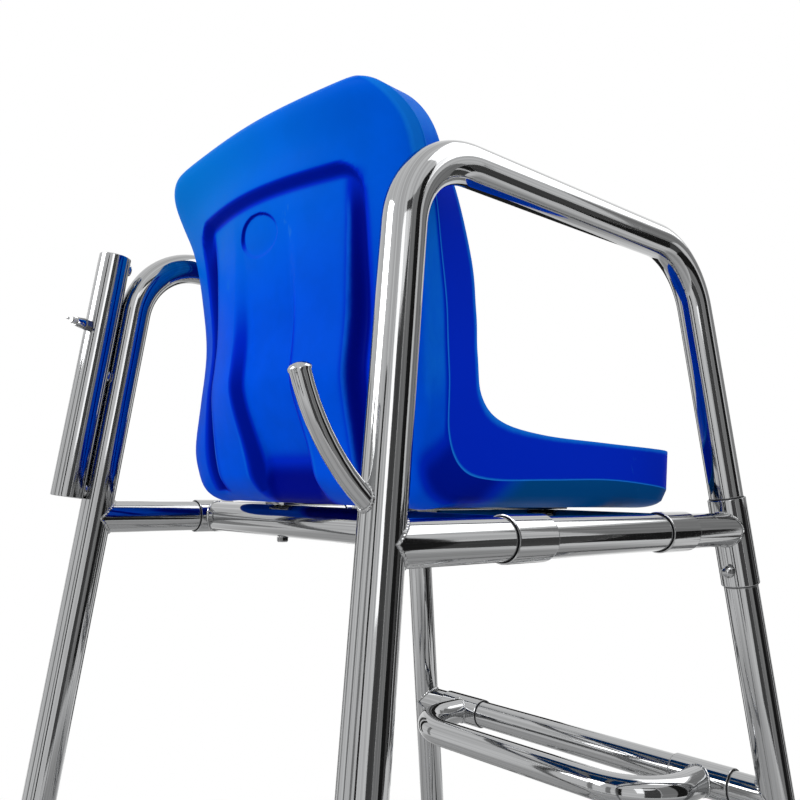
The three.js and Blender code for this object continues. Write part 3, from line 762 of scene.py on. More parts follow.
class CHAIR_OT_crossbars(bpy.types.Operator):
    """Makes the two crossbars under the seat, each with a collar on either rail"""

    bl_idname = "chair.crossbars"
    bl_label = "Seat crossbars"

    def execute(self, context):
        s = sizes()
        for y, word in ((s.rear_bar, "rear"), (s.front_bar, "front")):
            bm = new_mesh()
            ends = [Vector((side * s.spacing / 2, y, 0)) for side in (RIGHT, LEFT)]
            rails = [(end, Vector((0, 1, 0)), s.sleeve_radius) for end in ends]
            tube(bm, TubePath(ends, marks=[0.025, s.spacing - 0.025]), s.tube_radius, cope=rails)
            mark_tube(bm, [(place, "heat", 0.012) for place in (WELD_PLACE, s.spacing - WELD_PLACE)])
            for end, rail, direction in zip(ends, rails, (Vector((1, 0, 0)), Vector((-1, 0, 0)))):
                half = Vector((0, s.collar_length / 2, 0))
                sleeve(bm, end - half, end + half)
                weld_bead(bm, end, direction, s.tube_radius, rail, size=0.0016)
            steel_piece(bm, f"{word}_polished_crossbar", [f"{word}_seat_crossbar"])
        return {"FINISHED"}


class CHAIR_OT_seat_bars(bpy.types.Operator):
    """Makes the flat bars under the seat and the bolts that hold it"""

    bl_idname = "chair.seat_bars"
    bl_label = "Seat bars and bolts"

    def execute(self, context):
        s = sizes()
        low, high = s.tube_radius + GAP, SEAT_BAR_TOP
        for side, word in SIDES:
            bm = new_mesh()
            bmesh.ops.create_cube(bm, size=1)
            bmesh.ops.scale(bm, vec=(*SEAT_BAR_SIZE, high - low), verts=bm.verts)
            bmesh.ops.bevel(
                bm, geom=bm.edges[:], offset=0.0008, segments=2, profile=0.5, affect="EDGES", material=-1
            )
            middle = (side * SEAT_BAR_SIDE, SEAT_BAR_MIDDLE, (low + high) / 2)
            bmesh.ops.translate(bm, vec=middle, verts=bm.verts)
            steel_piece(bm, f"{word}_flat_seat_bar", [f"{word}_seat_bar"])
        places = [(x, y) for y in (s.rear_bar, s.front_bar) for x in (-SEAT_BAR_SIDE, SEAT_BAR_SIDE)]
        for i, (x, y) in enumerate(places, 1):
            bm = new_mesh()
            hex_bolt(bm, Vector((x, y, -s.tube_radius - GAP)), Vector((x, y, SEAT_BOLT_TIP)))
            steel_piece(bm, f"seat_hex_bolt_{i}", [f"seat_bolt_{i}"])
        return {"FINISHED"}


class CHAIR_OT_steps(bpy.types.Operator):
    """Makes each step from a bar, a loop with two collars and the bolts that lock them"""

    bl_idname = "chair.steps"
    bl_label = "Steps"

    def execute(self, context):
        s, steps = sizes(), context.scene.chair_steps
        for i in range(steps.count):
            z = steps.first - i * steps.pitch
            self.bar(s, steps, i + 1, z)
            self.loop(s, steps, i + 1, z)
            for side, word in SIDES:
                bm = new_mesh()
                x = side * (steps.half_width + STEP_BOLT_OUT)
                base = Vector((x, front_post(side, z).y, z - s.sleeve_radius - GAP))
                hex_bolt(bm, base, base + UP * (s.sleeve_radius - STEP_BOLT_TIP))
                steel_piece(bm, f"step_hex_bolt_{i + 1}_{word}", [f"step_bolt_{i + 1}_{word}"])
        return {"FINISHED"}

    def bar(self, s, steps, number, z):
        bm = new_mesh()
        ends = [front_post(side, z) for side in (RIGHT, LEFT)]
        posts = [post_surface(front_post, side, z, s.tube_radius) for side in (RIGHT, LEFT)]
        middle = (ends[1] - ends[0]).length / 2
        collar_ends = [steps.half_width + sign * steps.collar / 2 for sign in (-1, 1)]
        seams = [middle + side * end for side in (-1, 1) for end in collar_ends]
        tube(bm, TubePath(ends, marks=seams), s.tube_radius, cope=posts)
        mark_tube(bm, [(seam, "soil", SEAM_REACH) for seam in seams])
        for end, post, direction in zip(ends, posts, (ends[1] - ends[0], ends[0] - ends[1])):
            weld_bead(bm, end, direction.normalized(), s.tube_radius, post)
        steel_piece(bm, f"step_bar_{number}_tube", [f"step_bar_{number}"])

    def loop(self, s, steps, number, z):
        bm = new_mesh()
        y = front_post(LEFT, z).y
        places = [(RIGHT, 0), (RIGHT, steps.depth), (LEFT, steps.depth), (LEFT, 0)]
        corners = [Vector((side * steps.half_width, y + depth, z)) for side, depth in places]
        path = TubePath(corners, steps.bend, marks=[0.03])
        axis = Vector((1, 0, 0))
        collars = [(end, axis, s.sleeve_radius) for end in (corners[0], corners[-1])]
        tube(bm, path, steps.radius, cope=collars)
        mark_tube(bm, end_welds(path))
        half = axis * (steps.collar / 2)
        for collar in collars:
            centre = collar[0]
            sleeve(bm, centre - half, centre + half)
            weld_bead(bm, centre, Vector((0, 1, 0)), steps.radius, collar, size=0.0017)
        steel_piece(bm, f"step_loop_{number}_tube", [f"step_loop_{number}"])


class CHAIR_OT_braces(bpy.types.Operator):
    """Makes the braces between the legs, coped and welded at both ends"""

    bl_idname = "chair.braces"
    bl_label = "Braces"

    def execute(self, context):
        s = sizes()
        for z, word in ((s.upper_brace, "upper_rear"), (s.lower_brace, "lower_rear")):
            self.brace(s, [(rear_post, RIGHT), (rear_post, LEFT)], z, f"{word}_brace")
        for side, word in SIDES:
            self.brace(s, [(rear_post, side), (front_post, side)], s.side_brace, f"{word}_side_brace")
        return {"FINISHED"}

    def brace(self, s, ends, z, name):
        bm = new_mesh()
        points = [post(side, z) for post, side in ends]
        posts = [post_surface(post, side, z, s.tube_radius) for post, side in ends]
        path = TubePath(points, marks=[0.03])
        tube(bm, path, s.brace_radius, cope=posts)
        mark_tube(bm, end_welds(path))
        for point, post, direction in zip(points, posts, (points[1] - points[0], points[0] - points[1])):
            weld_bead(bm, point, direction.normalized(), s.brace_radius, post)
        steel_piece(bm, f"polished_{name}", [name])


class CHAIR_OT_feet(bpy.types.Operator):
    """Makes the four rubber feet, cut flat at the floor"""

    bl_idname = "chair.feet"
    bl_label = "Feet"

    def execute(self, context):
        s, fit = sizes(), context.scene.chair_fittings
        material = rubber_finish()
        for side, word in SIDES:
            for post, end in ((rear_post, "rear"), (front_post, "front")):
                bm = new_mesh()
                ground = post(side, -s.rail_height)
                up = post(side, fit.foot_height - s.rail_height) - ground
                lathe(bm, self.profile(fit, up.length), facing(ground, up), steps=64)
                geom = bm.verts[:] + bm.edges[:] + bm.faces[:]
                cut = bmesh.ops.bisect_plane(
                    bm, geom=geom, plane_co=ground, plane_no=-UP, clear_outer=True
                )
                rim = [part for part in cut["geom_cut"] if isinstance(part, bmesh.types.BMEdge)]
                bmesh.ops.edgeloop_fill(bm, edges=rim)
                name = f"{word}_{end}_rubber_foot"
                finish_piece(bm, name, material, [f"{word}_{end}_foot"])
        return {"FINISHED"}

    def profile(self, fit, top):
        """A foot with three grooves and a bore for its post, from below the floor, where it is cut."""
        base, rim = fit.foot_base, fit.foot_top
        low = 0.012
        points = [(0, -0.015), (base - 0.0012, -0.015), (base, -0.008), (base, low)]
        for k in range(3):
            z = low + 0.006 + k * 0.008
            r = base + (rim - base) * (z - low) / (top - 0.003 - low)
            points += [(r, z), (r - 0.0009, z + 0.0008), (r - 0.0009, z + 0.0022), (r, z + 0.003)]
        points += [(rim, top - 0.003), (rim - 0.0006, top - 0.0008), (rim - 0.0018, top)]
        return points + [(FOOT_BORE, top), (FOOT_BORE, 0.013), (0, 0.013)]


# Seat lines in the plane of the side, in millimetres from the rails' axis: (to the rear, up)
FACE_LINE = [
    (-257, 66), (-251, 86), (-232, 92), (-106, 95), (0, 98), (66, 108), (94, 131), (98, 170),
    (95, 212), (101, 262), (123, 318), (155, 368), (180, 412), (198, 436),
]
PARTING_LINE = [
    (-259, 42), (-246, 43), (-180, 50), (-100, 54), (0, 52), (90, 51), (130, 62), (146, 95),
    (142, 150), (142, 205), (151, 262), (164, 318), (187, 369), (213, 412), (223, 436),
]
REAR_LINE = [
    (-252, 33), (-242, 26), (-220, 25), (-100, 25), (40, 25), (118, 25), (146, 24), (170, 40),
    (183, 76), (181, 140), (176, 205), (182, 265), (192, 325), (208, 375), (229, 418), (229, 437),
]


class SideLine:
    """A smooth line through points of the side's plane, measured by the share of its length."""

    def __init__(self, points):
        points = [Vector(point) for point in points]
        ends = [points[0], *points, points[-1]]
        spans = [ends[i : i + 4] for i in range(len(points) - 1)]
        self.places = [self.between(*span, k / 12) for span in spans for k in range(12)] + [points[-1]]
        self.runs = [0.0]
        for a, b in zip(self.places, self.places[1:]):
            self.runs.append(self.runs[-1] + (b - a).length)

    def between(self, before, start, end, after, t):
        v0, v1 = (end - before) / 2, (after - start) / 2
        cubic = 2 * start - 2 * end + v0 + v1
        square = 3 * end - 3 * start - 2 * v0 - v1
        return cubic * t**3 + square * t**2 + v0 * t + start

    def at(self, share):
        run = share * self.runs[-1]
        i = min(max(bisect.bisect_right(self.runs, run) - 1, 0), len(self.places) - 2)
        t = (run - self.runs[i]) / (self.runs[i + 1] - self.runs[i])
        return self.places[i].lerp(self.places[i + 1], min(1.0, max(0.0, t)))


class SeatSizes(bpy.types.PropertyGroup):
    """Sizes of the moulded seat, in the seat lines' millimetres"""

    half_width: number("Half width", "Half of the shell's width", 216)
    top: number("Top", "Top of the back", 437)
    front: number("Front", "Front of the pan", 259)
    top_corner: number("Top corner", "Rounding of the back's corners", 78)
    top_drop: number("Top drop", "Drop of the top edge's middle", 9)
    top_crown: number("Top crown", "Further drop of the top edge's ends", 6)
    front_corner: number("Front corner", "Rounding of the pan's corners", 54)
    bow: number("Bow", "Rearward bow of the back's middle", 36)
    recess: number("Recess", "Depth of the rear panel", 10)
    panel_half: number("Panel half width", "Half of the panel's width", 150)
    panel_top: number("Panel top", "Top of the panel", 347)
    panel_corner: number("Panel corner", "Rounding of the panel's corners", 30)
    ridge: number("Ridge", "Height of the two ridges", 14)
    channel: number("Channel", "Depth of the middle channel", 10)
    disc_wide: number("Disc width", "Half of the bare oval disc's width", 38)
    disc_tall: number("Disc height", "Half of the bare oval disc's height", 24)
    disc_side: number("Disc side", "How far left the bare disc's middle lies", 8)
    disc_place: number("Disc place", "Height of the bare disc's middle", 303)
    disc_depth: number("Disc depth", "Depth of the bare disc", 2.6)


def corner_cut(near, radius):
    """How much a round corner takes off the width, from how far into the corner a place lies."""
    return radius * (1 - math.sqrt(1 - min(1.0, max(0.0, near) / radius) ** 2))


class SeatShape:
    """Where the shell's surface lies, from its side lines and its sizes."""

    FACE_END = 0.98

    def __init__(self, seat):
        self.seat = seat
        self.face, self.parting, self.rear = map(SideLine, (FACE_LINE, PARTING_LINE, REAR_LINE))

    def half(self, point):
        """Half of the shell's width beside a place on a side line."""
        seat = self.seat
        near_top = point.y - (seat.top - seat.top_corner)
        near_front = -(seat.front - seat.front_corner) - point.x
        waist = 7.5 * smooth(point.y, 100, 195) * (1 - smooth(point.y, 230, 400))
        flare = 10 * smooth(point.y, 320, 437)
        full = seat.half_width + flare - waist
        return full - corner_cut(near_top, seat.top_corner) - corner_cut(near_front, seat.front_corner)

    def bow(self, u, z):
        """How far the back's middle stands to the rear of its line."""
        return self.seat.bow * (1 - u * u) ** 2 * smooth(z, 60, 160) * (1 - 0.85 * smooth(z, 320, 430))

    def outside_panel(self, u, z):
        """How far a place on the rear face lies outside the panel, which has round upper corners."""
        seat = self.seat
        beside = abs(u) * seat.half_width - (seat.panel_half - seat.panel_corner)
        above = z - (seat.panel_top - seat.panel_corner)
        return math.hypot(max(0.0, beside), max(0.0, above)) - seat.panel_corner

    def relief(self, u, z):
        """Panel, ridges, channel and skirt: how far the rear face stands inwards of its line."""
        across, seat = abs(u), self.seat
        on_back = smooth(z, 26, 58)
        panel = seat.recess * (1 - smooth(self.outside_panel(u, z), -7, 7))
        on_ridge = smooth(across, 0.19, 0.29) * (1 - smooth(across, 0.59, 0.65))
        ridge = seat.ridge * on_ridge * (1 - smooth(z, 180, 345))
        channel = seat.channel * (1 - smooth(across, 0.17, 0.29)) * (1 - smooth(z, 60, 300))
        skirt = 4 * smooth(across, 0.68, 0.85) * (1 - on_back)
        return on_back * (panel - ridge + self.disc(u, z)) + smooth(z, 22, 38) * channel - skirt

    def from_disc(self, u, z):
        """A place's way left and up from the disc's middle, in shares of the oval's half sizes."""
        seat = self.seat
        return (u * seat.half_width - seat.disc_side) / seat.disc_wide, (z - seat.disc_place) / seat.disc_tall

    def disc(self, u, z):
        """Depth of the oval disc in the rear panel."""
        return self.seat.disc_depth * (1 - smooth(math.hypot(*self.from_disc(u, z)), 0.86, 1.0))

    def placed(self, u, across, point):
        """A place on the shell, moved to the rear by the bow and down by the crown of the top edge."""
        drop = (self.seat.top_drop + self.seat.top_crown * u * u) * smooth(point.y, 330, 437)
        return Vector((across, point.x + self.bow(u, point.y), point.y - drop))

    def lip(self, share):
        """How open the shell is: closed at its front lip and its top rim, full behind a rounding."""
        front, top = min(1.0, share / 0.018), min(1.0, (1 - share) / 0.014)
        return math.sqrt(1 - (1 - front) ** 2) * math.sqrt(1 - (1 - top) ** 2)

    def front_point(self, u, share):
        face, parting, rear = self.face.at(share), self.parting.at(share), self.rear.at(share)
        half = self.half(parting)
        dish = (0.42 - 0.07 * smooth(face.y, 100, 200)) * smooth(share, 0.02, 0.16)
        dish *= (1 - smooth(share, 0.8, 0.99)) * (1 - smooth(abs(u), 0.42, 0.98))
        point = parting.lerp(face.lerp(rear, dish), self.lip(share))
        wide = half - 8 * self.lip(share)
        return self.placed(u, u / self.FACE_END * wide, point)

    def rear_point(self, u, share):
        face, parting, rear = self.face.at(share), self.parting.at(share), self.rear.at(share)
        wrap = 1 - math.sqrt(1 - abs(u) ** 12)
        open_share = self.lip(share)
        point = parting.lerp(rear.lerp(parting, wrap), open_share)
        point += (face - rear).normalized() * (self.relief(u, rear.y) * open_share)
        return self.placed(u, u * self.half(parting), point)

    def columns(self, count, focus):
        """Places across the shell, closer together round each focus."""
        return [2 * self.FACE_END * (share - 0.5) for share in spaced(count, focus)]

    def point(self, half, u, reach, share):
        """A place on the front or rear half, or the given reach of the way to it from the parting edge."""
        surface = self.front_point if half == "front" else self.rear_point
        if reach == 1:
            return surface(u, share)
        parting = self.parting.at(share)
        edge = self.placed(u, u * self.half(parting), parting)
        return edge.lerp(surface(u * self.FACE_END, share), reach)


def spaced(count, focus):
    """Shares from 0 to 1, closer together round each focus of (place, width, weight)."""
    fine = 2000
    density = []
    for k in range(fine):
        share = (k + 0.5) / fine
        near = [weight * math.exp(-((share - place) / width) ** 2) for place, width, weight in focus]
        density.append(1 + sum(near))
    total, run, shares = sum(density), 0.0, [0.0]
    for k, amount in enumerate(density):
        run += amount
        while len(shares) < count and run >= total * len(shares) / count:
            shares.append((k + 1) / fine)
    return shares[:count] + [1.0]


class CHAIR_OT_seat(bpy.types.Operator):
    """Moulds the hollow seat shell with its dished face, ridged back, parting edge and bare disc"""

    bl_idname = "chair.seat"
    bl_label = "Seat shell"

    # Rings of the side wall, from the front half over the parting edge to the rear half
    SIDE = (("front", 0.85), ("front", 0.05), ("front", 0), ("rear", 0.05), ("rear", 0.3))

    def execute(self, context):
        shape = SeatShape(context.scene.chair_seat)
        rims = [(0.5 + 0.5 * side, 0.02, 5) for side in (-1, 1)]
        walls = [(0.5 + 0.5 * side * u, 0.02, 2.2) for side in (-1, 1) for u in (0.24, 0.63)]
        disc = [(0.52, 0.1, 3)]
        ends, bend, disc_rows = [(0, 0.02, 6), (1, 0.03, 8)], [(0.43, 0.1, 0.8)], [(0.83, 0.04, 3.2)]
        rows = spaced(290, ends + bend + disc_rows)
        around = [("front", u, 1) for u in shape.columns(84, rims)]
        around += [(half, 1, reach) for half, reach in self.SIDE]
        around += [("rear", u, 1) for u in reversed(shape.columns(176, rims + walls + disc))]
        around += [(half, -1, reach) for half, reach in reversed(self.SIDE)]
        bm = new_mesh()
        bmesh.ops.create_grid(bm, x_segments=len(around), y_segments=len(rows) - 1, size=1)
        edge, deep, foot = layer(bm, "edge"), layer(bm, "deep"), layer(bm, "foot")
        for vert in bm.verts:
            i = round((vert.co.x + 1) / 2 * len(around)) % len(around)
            share = rows[round((vert.co.y + 1) / 2 * (len(rows) - 1))]
            half, u, reach = around[i]
            vert.co = shape.point(half, u, reach, share)
            line = shape.rear.at(share)
            # Painted highlight on the parting line, the front lip, the top rim, the sides and the ridges'
            # edges.
            highlit_and_scuffed = self.painted_highlight(half, abs(u), reach, line) if reach else 1.0
            vert[edge] = max(highlit_and_scuffed, 0.7 * (1 - smooth(min(share, 1 - share), 0.0, 0.02)))
            # Painted shade in the grooves, the panel's step, the sides and the lower corners.
            vert[deep] = self.depth(shape, half, u, reach, line)
            # Painted shade on the pan's underside and lower sides, which face down.
            if half == "rear":
                vert[foot] = 1 - smooth(line.x, 50, 105)
        bmesh.ops.remove_doubles(bm, verts=bm.verts, dist=0.005)
        bmesh.ops.scale(bm, vec=(0.001, 0.001, 0.001), verts=bm.verts)
        finish_piece(bm, "moulded_seat_shell", seat_finish(), ["seat_shell"], sharp=60)
        return {"FINISHED"}

    def painted_highlight(self, half, across, reach, line):
        """How pale a place is, from 0 to 1, as painted highlight: the rims, the upper sides, the rear half's
        sides and the ridges' edges.
        """
        z = line.y
        upper_side = 0.6 * smooth(z, 300, 380)
        if half == "front":
            rim = 0.85 * smooth(across, 0.94, 0.975) * smooth(reach, 0.85, 1)
            return rim + upper_side if reach < 1 else rim
        if reach < 0.3:
            return upper_side
        side = smooth(across, 0.94, 0.98) * (0.5 + 0.35 * smooth(z, 200, 380)) * smooth(z, 60, 140)
        outer = smooth(across, 0.57, 0.59) * (1 - smooth(across, 0.595, 0.62)) * (1 - smooth(z, 300, 340))
        inner = smooth(across, 0.28, 0.295) * (1 - smooth(across, 0.3, 0.33)) * (1 - smooth(z, 80, 150))
        return max(side, 0.45 * max(outer, inner) * smooth(z, 34, 60))

    def depth(self, shape, half, u, reach, line):
        """How dark a place is, from 0 to 1, as painted shade: grooves, the panel's step, the sides and the
        lower corners.
        """
        across, z = abs(u), line.y
        lower = 1 - smooth(z, 290, 380)
        if half == "front":
            return 0.5 * smooth(across, 0.975, 0.98) * lower if reach < 1 else 0.0
        # Painted shade on the lower corners of the sides.
        heel = 0.8 * smooth(line.x, 60, 120) * (1 - smooth(z, 42, 78)) * smooth(across, 0.9, 0.97)
        if reach < 0.3:
            return max(heel, 0.6 * lower * smooth(line.x, 60, 120))
        if reach < 1:
            return heel
        # Painted shadow at the foot of the middle channel.
        foot = (1 - smooth(z, 38, 75)) * smooth(z, 18, 24) * (1 - smooth(across, 0.2, 0.33))
        if z < 34:
            return max(foot, heel)
        outside = shape.outside_panel(u, z)
        step = 0.75 * smooth(outside, -16, -5) * (1 - smooth(outside, 4, 10))
        groove = smooth(across, 0.52, 0.63) ** 2 * (1 - smooth(across, 0.66, 0.77))
        groove *= (1 - 0.5 * smooth(z, 290, 350)) * (1 - smooth(z, 335, 350))
        flank = 0.8 * smooth(across, 0.2, 0.23) * (1 - smooth(across, 0.26, 0.31)) * (1 - smooth(z, 140, 270))
        return max(step, groove, flank, foot, heel, self.rim_shadow(*shape.from_disc(u, z)))

    def rim_shadow(self, aside, rise):
        """How dark the disc's wall is, as painted shadow: most along its upper edge."""
        reach = math.hypot(aside, rise)
        wall = smooth(reach, 0.82, 0.9) * (1 - smooth(reach, 0.97, 1.04))
        return wall * (0.15 + 0.75 * smooth(rise + 0.4 * aside, -0.3, 0.6))


class CHAIR_OT_holder(bpy.types.Operator):
    """Makes the umbrella holder, tack-welded behind the left rear post, with its clamp screw"""

    bl_idname = "chair.holder"
    bl_label = "Umbrella holder and clamp"

    def execute(self, context):
        s, fit = sizes(), context.scene.chair_fittings
        up = (rear_post(LEFT, 1) - rear_post(LEFT, 0)).normalized()
        out = (Vector((0, 1, 0)) - up * up.y).normalized()
        screw = Matrix.Rotation(fit.clamp_turn, 3, up) @ out
        centre = self.axis(s, out, fit.clamp_height)
        self.holder(s, fit, out, up)
        self.boss(s, facing(centre, screw))
        self.stud(s, facing(centre, screw))
        self.wing(facing(centre + screw * (s.tube_radius + 0.009), screw))
        return {"FINISHED"}

    def axis(self, s, out, z):
        """The holder's axis at a height."""
        return rear_post(LEFT, z) + out * (2 * s.tube_radius + GAP)

    def holder(self, s, fit, out, up):
        bm = new_mesh()
        low, high = self.axis(s, out, fit.holder_bottom), self.axis(s, out, fit.holder_top)
        sleeve(bm, low, high, s.tube_radius, s.tube_radius - s.tube_wall)
        soil, heat = layer(bm, "soil"), layer(bm, "heat")
        for vert in bm.verts:
            vert[soil] *= 0.5
        side = up.cross(out)
        for z in (0.03, 0.17, 0.305):
            for sign in (-1, 1):
                middle = self.axis(s, out, z) - out * (s.tube_radius - 0.0015) + side * (sign * 0.0062)
                place = facing(middle, up) @ Matrix.Diagonal((0.8, 0.8, 1.5, 1))
                blob = bmesh.ops.create_icosphere(bm, subdivisions=3, radius=0.0045, matrix=place)
                for vert in blob["verts"]:
                    vert.co += (vert.co - middle) * 0.2 * noise.noise(vert.co * 400)
                    vert[heat] = 0.8
        steel_piece(bm, "polished_umbrella_holder", ["umbrella_holder"])

    def boss(self, s, place):
        bm = new_mesh()
        bore, corner = 0.0045, HEX_ACROSS / math.sqrt(3)
        foot, top = s.tube_radius - 0.0004, s.tube_radius + 0.008
        profile = [(bore, foot), (corner, foot), (corner, top - 0.0012), (corner * 0.85, top), (bore, top)]
        lathe(bm, profile, place, steps=6, closed=True)
        soil = layer(bm, "soil")
        for vert in bm.verts:
            vert[soil] = 0.55
        steel_piece(bm, "hexagonal_clamp_boss", ["clamp_boss"])

    def stud(self, s, place):
        bm = new_mesh()
        start, end, pitch = s.tube_radius - 0.0105, s.tube_radius + 0.026, 0.00125
        root, crest = 0.0034, 0.00398
        profile, run = [(0, start), (root, start)], start
        while run < end - 2 * pitch:
            profile += [(root, run + pitch * 0.15), (crest, run + pitch * 0.5), (root, run + pitch * 0.85)]
            run += pitch
        profile += [(0.0036, end - pitch), (0.0028, end), (0, end)]
        lathe(bm, profile, place, steps=36)
        steel_piece(bm, "threaded_clamp_stud", ["clamp_stud"], body="clamp_stud")

    def wing(self, place):
        bm = new_mesh()
        for sign in (-1, 1):
            known = set(bm.verts)
            verts = [bm.verts.new((sign * x / 1000, -WING_HALF, z / 1000)) for x, z in WING_OUTLINE]
            blade = bm.faces.new(verts)
            grown = bmesh.ops.extrude_face_region(bm, geom=[blade], use_keep_orig=True)["geom"]
            top = [part for part in grown if isinstance(part, bmesh.types.BMVert)]
            bmesh.ops.translate(bm, vec=(0, 2 * WING_HALF, 0), verts=top)
            made = set(fresh(bm, known))
            rims = [e for e in bm.edges if made.issuperset(e.verts) and e.calc_face_angle(0) > 0.9]
            bmesh.ops.bevel(
                bm, geom=rims, offset=0.0005, segments=2, profile=0.5, affect="EDGES", material=-1
            )
            bmesh.ops.transform(bm, matrix=place, space=Matrix.Identity(4), verts=fresh(bm, known))
        lathe(bm, WING_HUB, place, closed=True)
        steel_piece(bm, "clamp_wing_nut", ["clamp_wing"], body="clamp_wing")


class CHAIR_OT_hook(bpy.types.Operator):
    """Bends the rescue hook and welds it to the right rear post"""

    bl_idname = "chair.hook"
    bl_label = "Rescue hook"

    def execute(self, context):
        s, fit = sizes(), context.scene.chair_fittings
        begin = Vector((rear_post(RIGHT, HOOK_HEIGHT).x, HOOK_REAR, HOOK_HEIGHT))
        into, out = (Vector((0, math.cos(a), math.sin(a))) for a in (HOOK_RISE, HOOK_END))
        reach = fit.hook_arc * math.tan((HOOK_END - HOOK_RISE) / 2)
        corner = begin + into * reach
        tip = corner + out * reach
        post = post_surface(rear_post, RIGHT, HOOK_HEIGHT, s.tube_radius)
        start = begin - into * 0.012
        path = TubePath([start, corner, tip], fit.hook_arc, marks=[0.035])
        bm = new_mesh()
        sweep(bm, path, fit.hook_radius)
        lathe(bm, HOOK_TIP, facing(tip, out))
        bmesh.ops.holes_fill(bm, edges=[edge for edge in bm.edges if edge.is_boundary], sides=0)
        mark_tube(bm, [(0.034, "heat", 0.012)])
        weld_bead(bm, start, into, fit.hook_radius, post, size=0.0017, ripples=22)
        steel_piece(bm, "polished_rescue_hook", ["rescue_hook"])
        return {"FINISHED"}


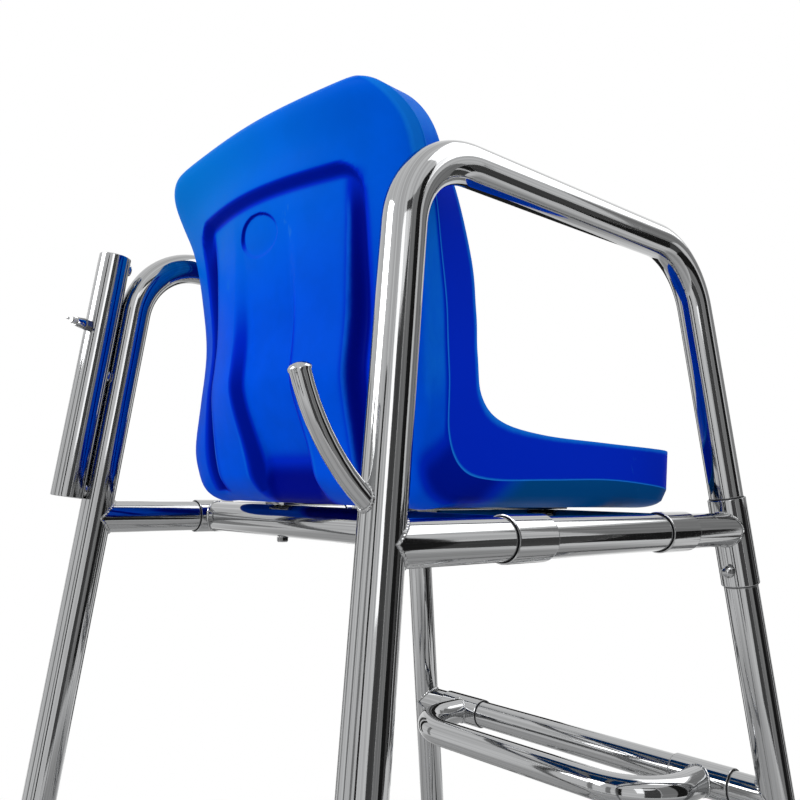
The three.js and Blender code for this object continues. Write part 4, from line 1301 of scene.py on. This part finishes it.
class CHAIR_OT_stage(bpy.types.Operator):
    """Sets the pale floor, the soft lamps, the flags round them and the camera"""

    bl_idname = "chair.stage"
    bl_label = "Stage"

    def execute(self, context):
        scene = context.scene
        self.floor(scene)
        self.sky(scene)
        self.screens(scene)
        self.lamps(scene)
        self.camera(scene)
        scene.view_settings.view_transform = "Standard"
        return {"FINISHED"}

    def add(self, scene, bm, name, material):
        mesh = bpy.data.meshes.new(name)
        bm.to_mesh(mesh)
        bm.free()
        mesh.materials.append(material)
        thing = bpy.data.objects.new(name, mesh)
        scene.collection.objects.link(thing)
        thing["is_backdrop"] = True
        return thing

    def floor(self, scene):
        bm = bmesh.new()
        bmesh.ops.create_circle(bm, segments=96, radius=3.3, cap_ends=True)
        f = Finish(bpy.data.materials.new("pale_studio_floor"))
        here = f.place()
        far = f.node("ShaderNodeVectorMath", {0: here}, output=1, operation="LENGTH")
        fade = f.ease(far, 2.0, 3.2) * seen_rays(f)
        matte = f.node("ShaderNodeBsdfDiffuse", {"Color": rgba(scene.chair_finishes.floor)})
        glow = f.node("ShaderNodeEmission", {"Color": (1, 1, 1, 1), "Strength": 1.0})
        mixed = f.node("ShaderNodeMixShader", {0: fade, 1: matte, 2: glow})
        f.node("ShaderNodeOutputMaterial", {"Surface": mixed})
        self.add(scene, bm, "studio_floor", f.owner)

    def sky(self, scene):
        f = Finish(bpy.data.worlds.new("white_studio"))
        scene.world = f.owner
        dim = f.node("ShaderNodeBackground", {"Color": (1, 1, 1, 1), "Strength": 0.38})
        white = f.node("ShaderNodeBackground", {"Color": (1, 1, 1, 1), "Strength": 1.0})
        mixed = f.node("ShaderNodeMixShader", {0: seen_rays(f), 1: dim, 2: white})
        f.node("ShaderNodeOutputWorld", {"Surface": mixed})

    def screens(self, scene):
        """Hangs flags round the chair that only the polished tubes show, as (turn, width, low, high)."""
        self.screen(scene, "black_flags", 0.02, 3.2, [
            (-8, 8, 0, 2.6), (108, 7, 0, 2.8), (197, 22, 0, 4.2), (232, 9, 0.4, 1.6), (303, 22, 0, 2.6),
        ])
        self.screen(scene, "dark_flags", 0.1, 3.25, [
            (148, 24, 0, 4.2), (216, 16, 0.3, 1.6), (245, 18, 0.3, 1.6), (340, 8, 0, 2.5),
        ])
        self.screen(scene, "grey_flags", 0.36, 3.3, [
            (20, 8, 0, 2.4), (60, 8, 0, 2.6), (90, 8, 0, 2.6),
            (173, 26, 0, 4.2), (231, 40, 1.6, 3.2), (272, 14, 0, 2.4),
        ])

    def screen(self, scene, name, shade, away, parts):
        bm = bmesh.new()
        for start, wide, low, high in parts:
            turn = math.radians(start)
            foot = Vector((math.cos(turn) * away, math.sin(turn) * away, 0))
            line = [bm.verts.new(foot + UP * low), bm.verts.new(foot + UP * high)]
            edge = bm.edges.new(line)
            steps = max(1, wide // 3)
            bmesh.ops.spin(
                bm, geom=[*line, edge], cent=(0, 0, 0), axis=UP, angle=math.radians(wide), steps=steps
            )
        f = Finish(bpy.data.materials.new(name))
        cloth = f.node("ShaderNodeEmission", {"Color": (1, 1, 1, 1), "Strength": shade})
        f.node("ShaderNodeOutputMaterial", {"Surface": cloth})
        flags = self.add(scene, bm, name, f.owner)
        flags.visible_camera = False
        flags.visible_diffuse = False
        flags.visible_transmission = False
        flags.visible_shadow = False

    def lamps(self, scene):
        centre = Vector((0, 0, 1.3))
        for name, place, size, power in (
            ("key", (1.4, 3.0, 3.3), 1.8, 72),
            ("fill", (-3.0, 1.6, 2.6), 2.0, 18),
            ("top", (-1.0, -1.6, 3.9), 2.4, 38),
        ):
            data = bpy.data.lights.new(f"{name}_softbox", "AREA")
            data.size = size
            data.energy = power
            lamp = bpy.data.objects.new(data.name, data)
            lamp.location = place
            lamp.rotation_mode = "QUATERNION"
            lamp.rotation_quaternion = (centre - lamp.location).to_track_quat("-Z", "Y")
            scene.collection.objects.link(lamp)

    def camera(self, scene):
        yaw, pitch, roll = (math.radians(angle) for angle in CAMERA_TURN)
        ahead = Vector((math.cos(pitch) * math.cos(yaw), math.cos(pitch) * math.sin(yaw), math.sin(pitch)))
        across = ahead.cross(UP).normalized()
        above = across.cross(ahead)
        right = across * math.cos(roll) + above * math.sin(roll)
        over = above * math.cos(roll) - across * math.sin(roll)
        data = bpy.data.cameras.new("photo_camera")
        data.sensor_width = SENSOR_WIDTH
        data.lens = SENSOR_WIDTH * FOCAL_PIXELS / IMAGE_WIDTH
        data.clip_start = 0.02
        camera = bpy.data.objects.new("photo_camera", data)
        turn = Matrix((right, over, -ahead)).transposed().to_4x4()
        camera.matrix_world = Matrix.Translation(CAMERA_PLACE) @ turn
        scene.collection.objects.link(camera)
        scene.camera = camera


class CHAIR_PT_panel(bpy.types.Panel):
    """Lists the chair's pieces in the order they are made"""

    bl_idname = "CHAIR_PT_panel"
    bl_label = "Lifeguard chair"
    bl_space_type = "VIEW_3D"
    bl_region_type = "UI"
    bl_category = "Chair"

    def draw(self, context):
        for operator in OPERATORS:
            self.layout.operator(operator.bl_idname)
        for name in GROUPS:
            group = getattr(context.scene, name)
            box = self.layout.box()
            for key in group.bl_rna.properties.keys():
                if key not in {"rna_type", "name"}:
                    box.prop(group, key)


OPERATORS = (
    CHAIR_OT_arm_tubes,
    CHAIR_OT_front_legs,
    CHAIR_OT_side_rails,
    CHAIR_OT_crossbars,
    CHAIR_OT_seat_bars,
    CHAIR_OT_steps,
    CHAIR_OT_braces,
    CHAIR_OT_feet,
    CHAIR_OT_seat,
    CHAIR_OT_holder,
    CHAIR_OT_hook,
    CHAIR_OT_stage,
)
GROUPS = {
    "chair_frame": FrameSizes,
    "chair_steps": StepSizes,
    "chair_fittings": FittingSizes,
    "chair_seat": SeatSizes,
    "chair_finishes": ChairFinishes,
}


def register():
    for group in GROUPS.values():
        bpy.utils.register_class(group)
    for name, group in GROUPS.items():
        setattr(bpy.types.Scene, name, PointerProperty(type=group))
    for operator in OPERATORS:
        bpy.utils.register_class(operator)
    bpy.utils.register_class(CHAIR_PT_panel)


def unregister():
    bpy.utils.unregister_class(CHAIR_PT_panel)
    for operator in reversed(OPERATORS):
        bpy.utils.unregister_class(operator)
    for name, group in GROUPS.items():
        delattr(bpy.types.Scene, name)
        bpy.utils.unregister_class(group)


def main():
    register()
    for operator in OPERATORS:
        category, name = operator.bl_idname.split(".")
        getattr(getattr(bpy.ops, category), name)()
    boxes = {"solids": SOLID_BOX, "dressed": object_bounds()}
    {key: [list(corner) for corner in box] for key, box in boxes.items()}


if __name__ == "__main__":
    main()
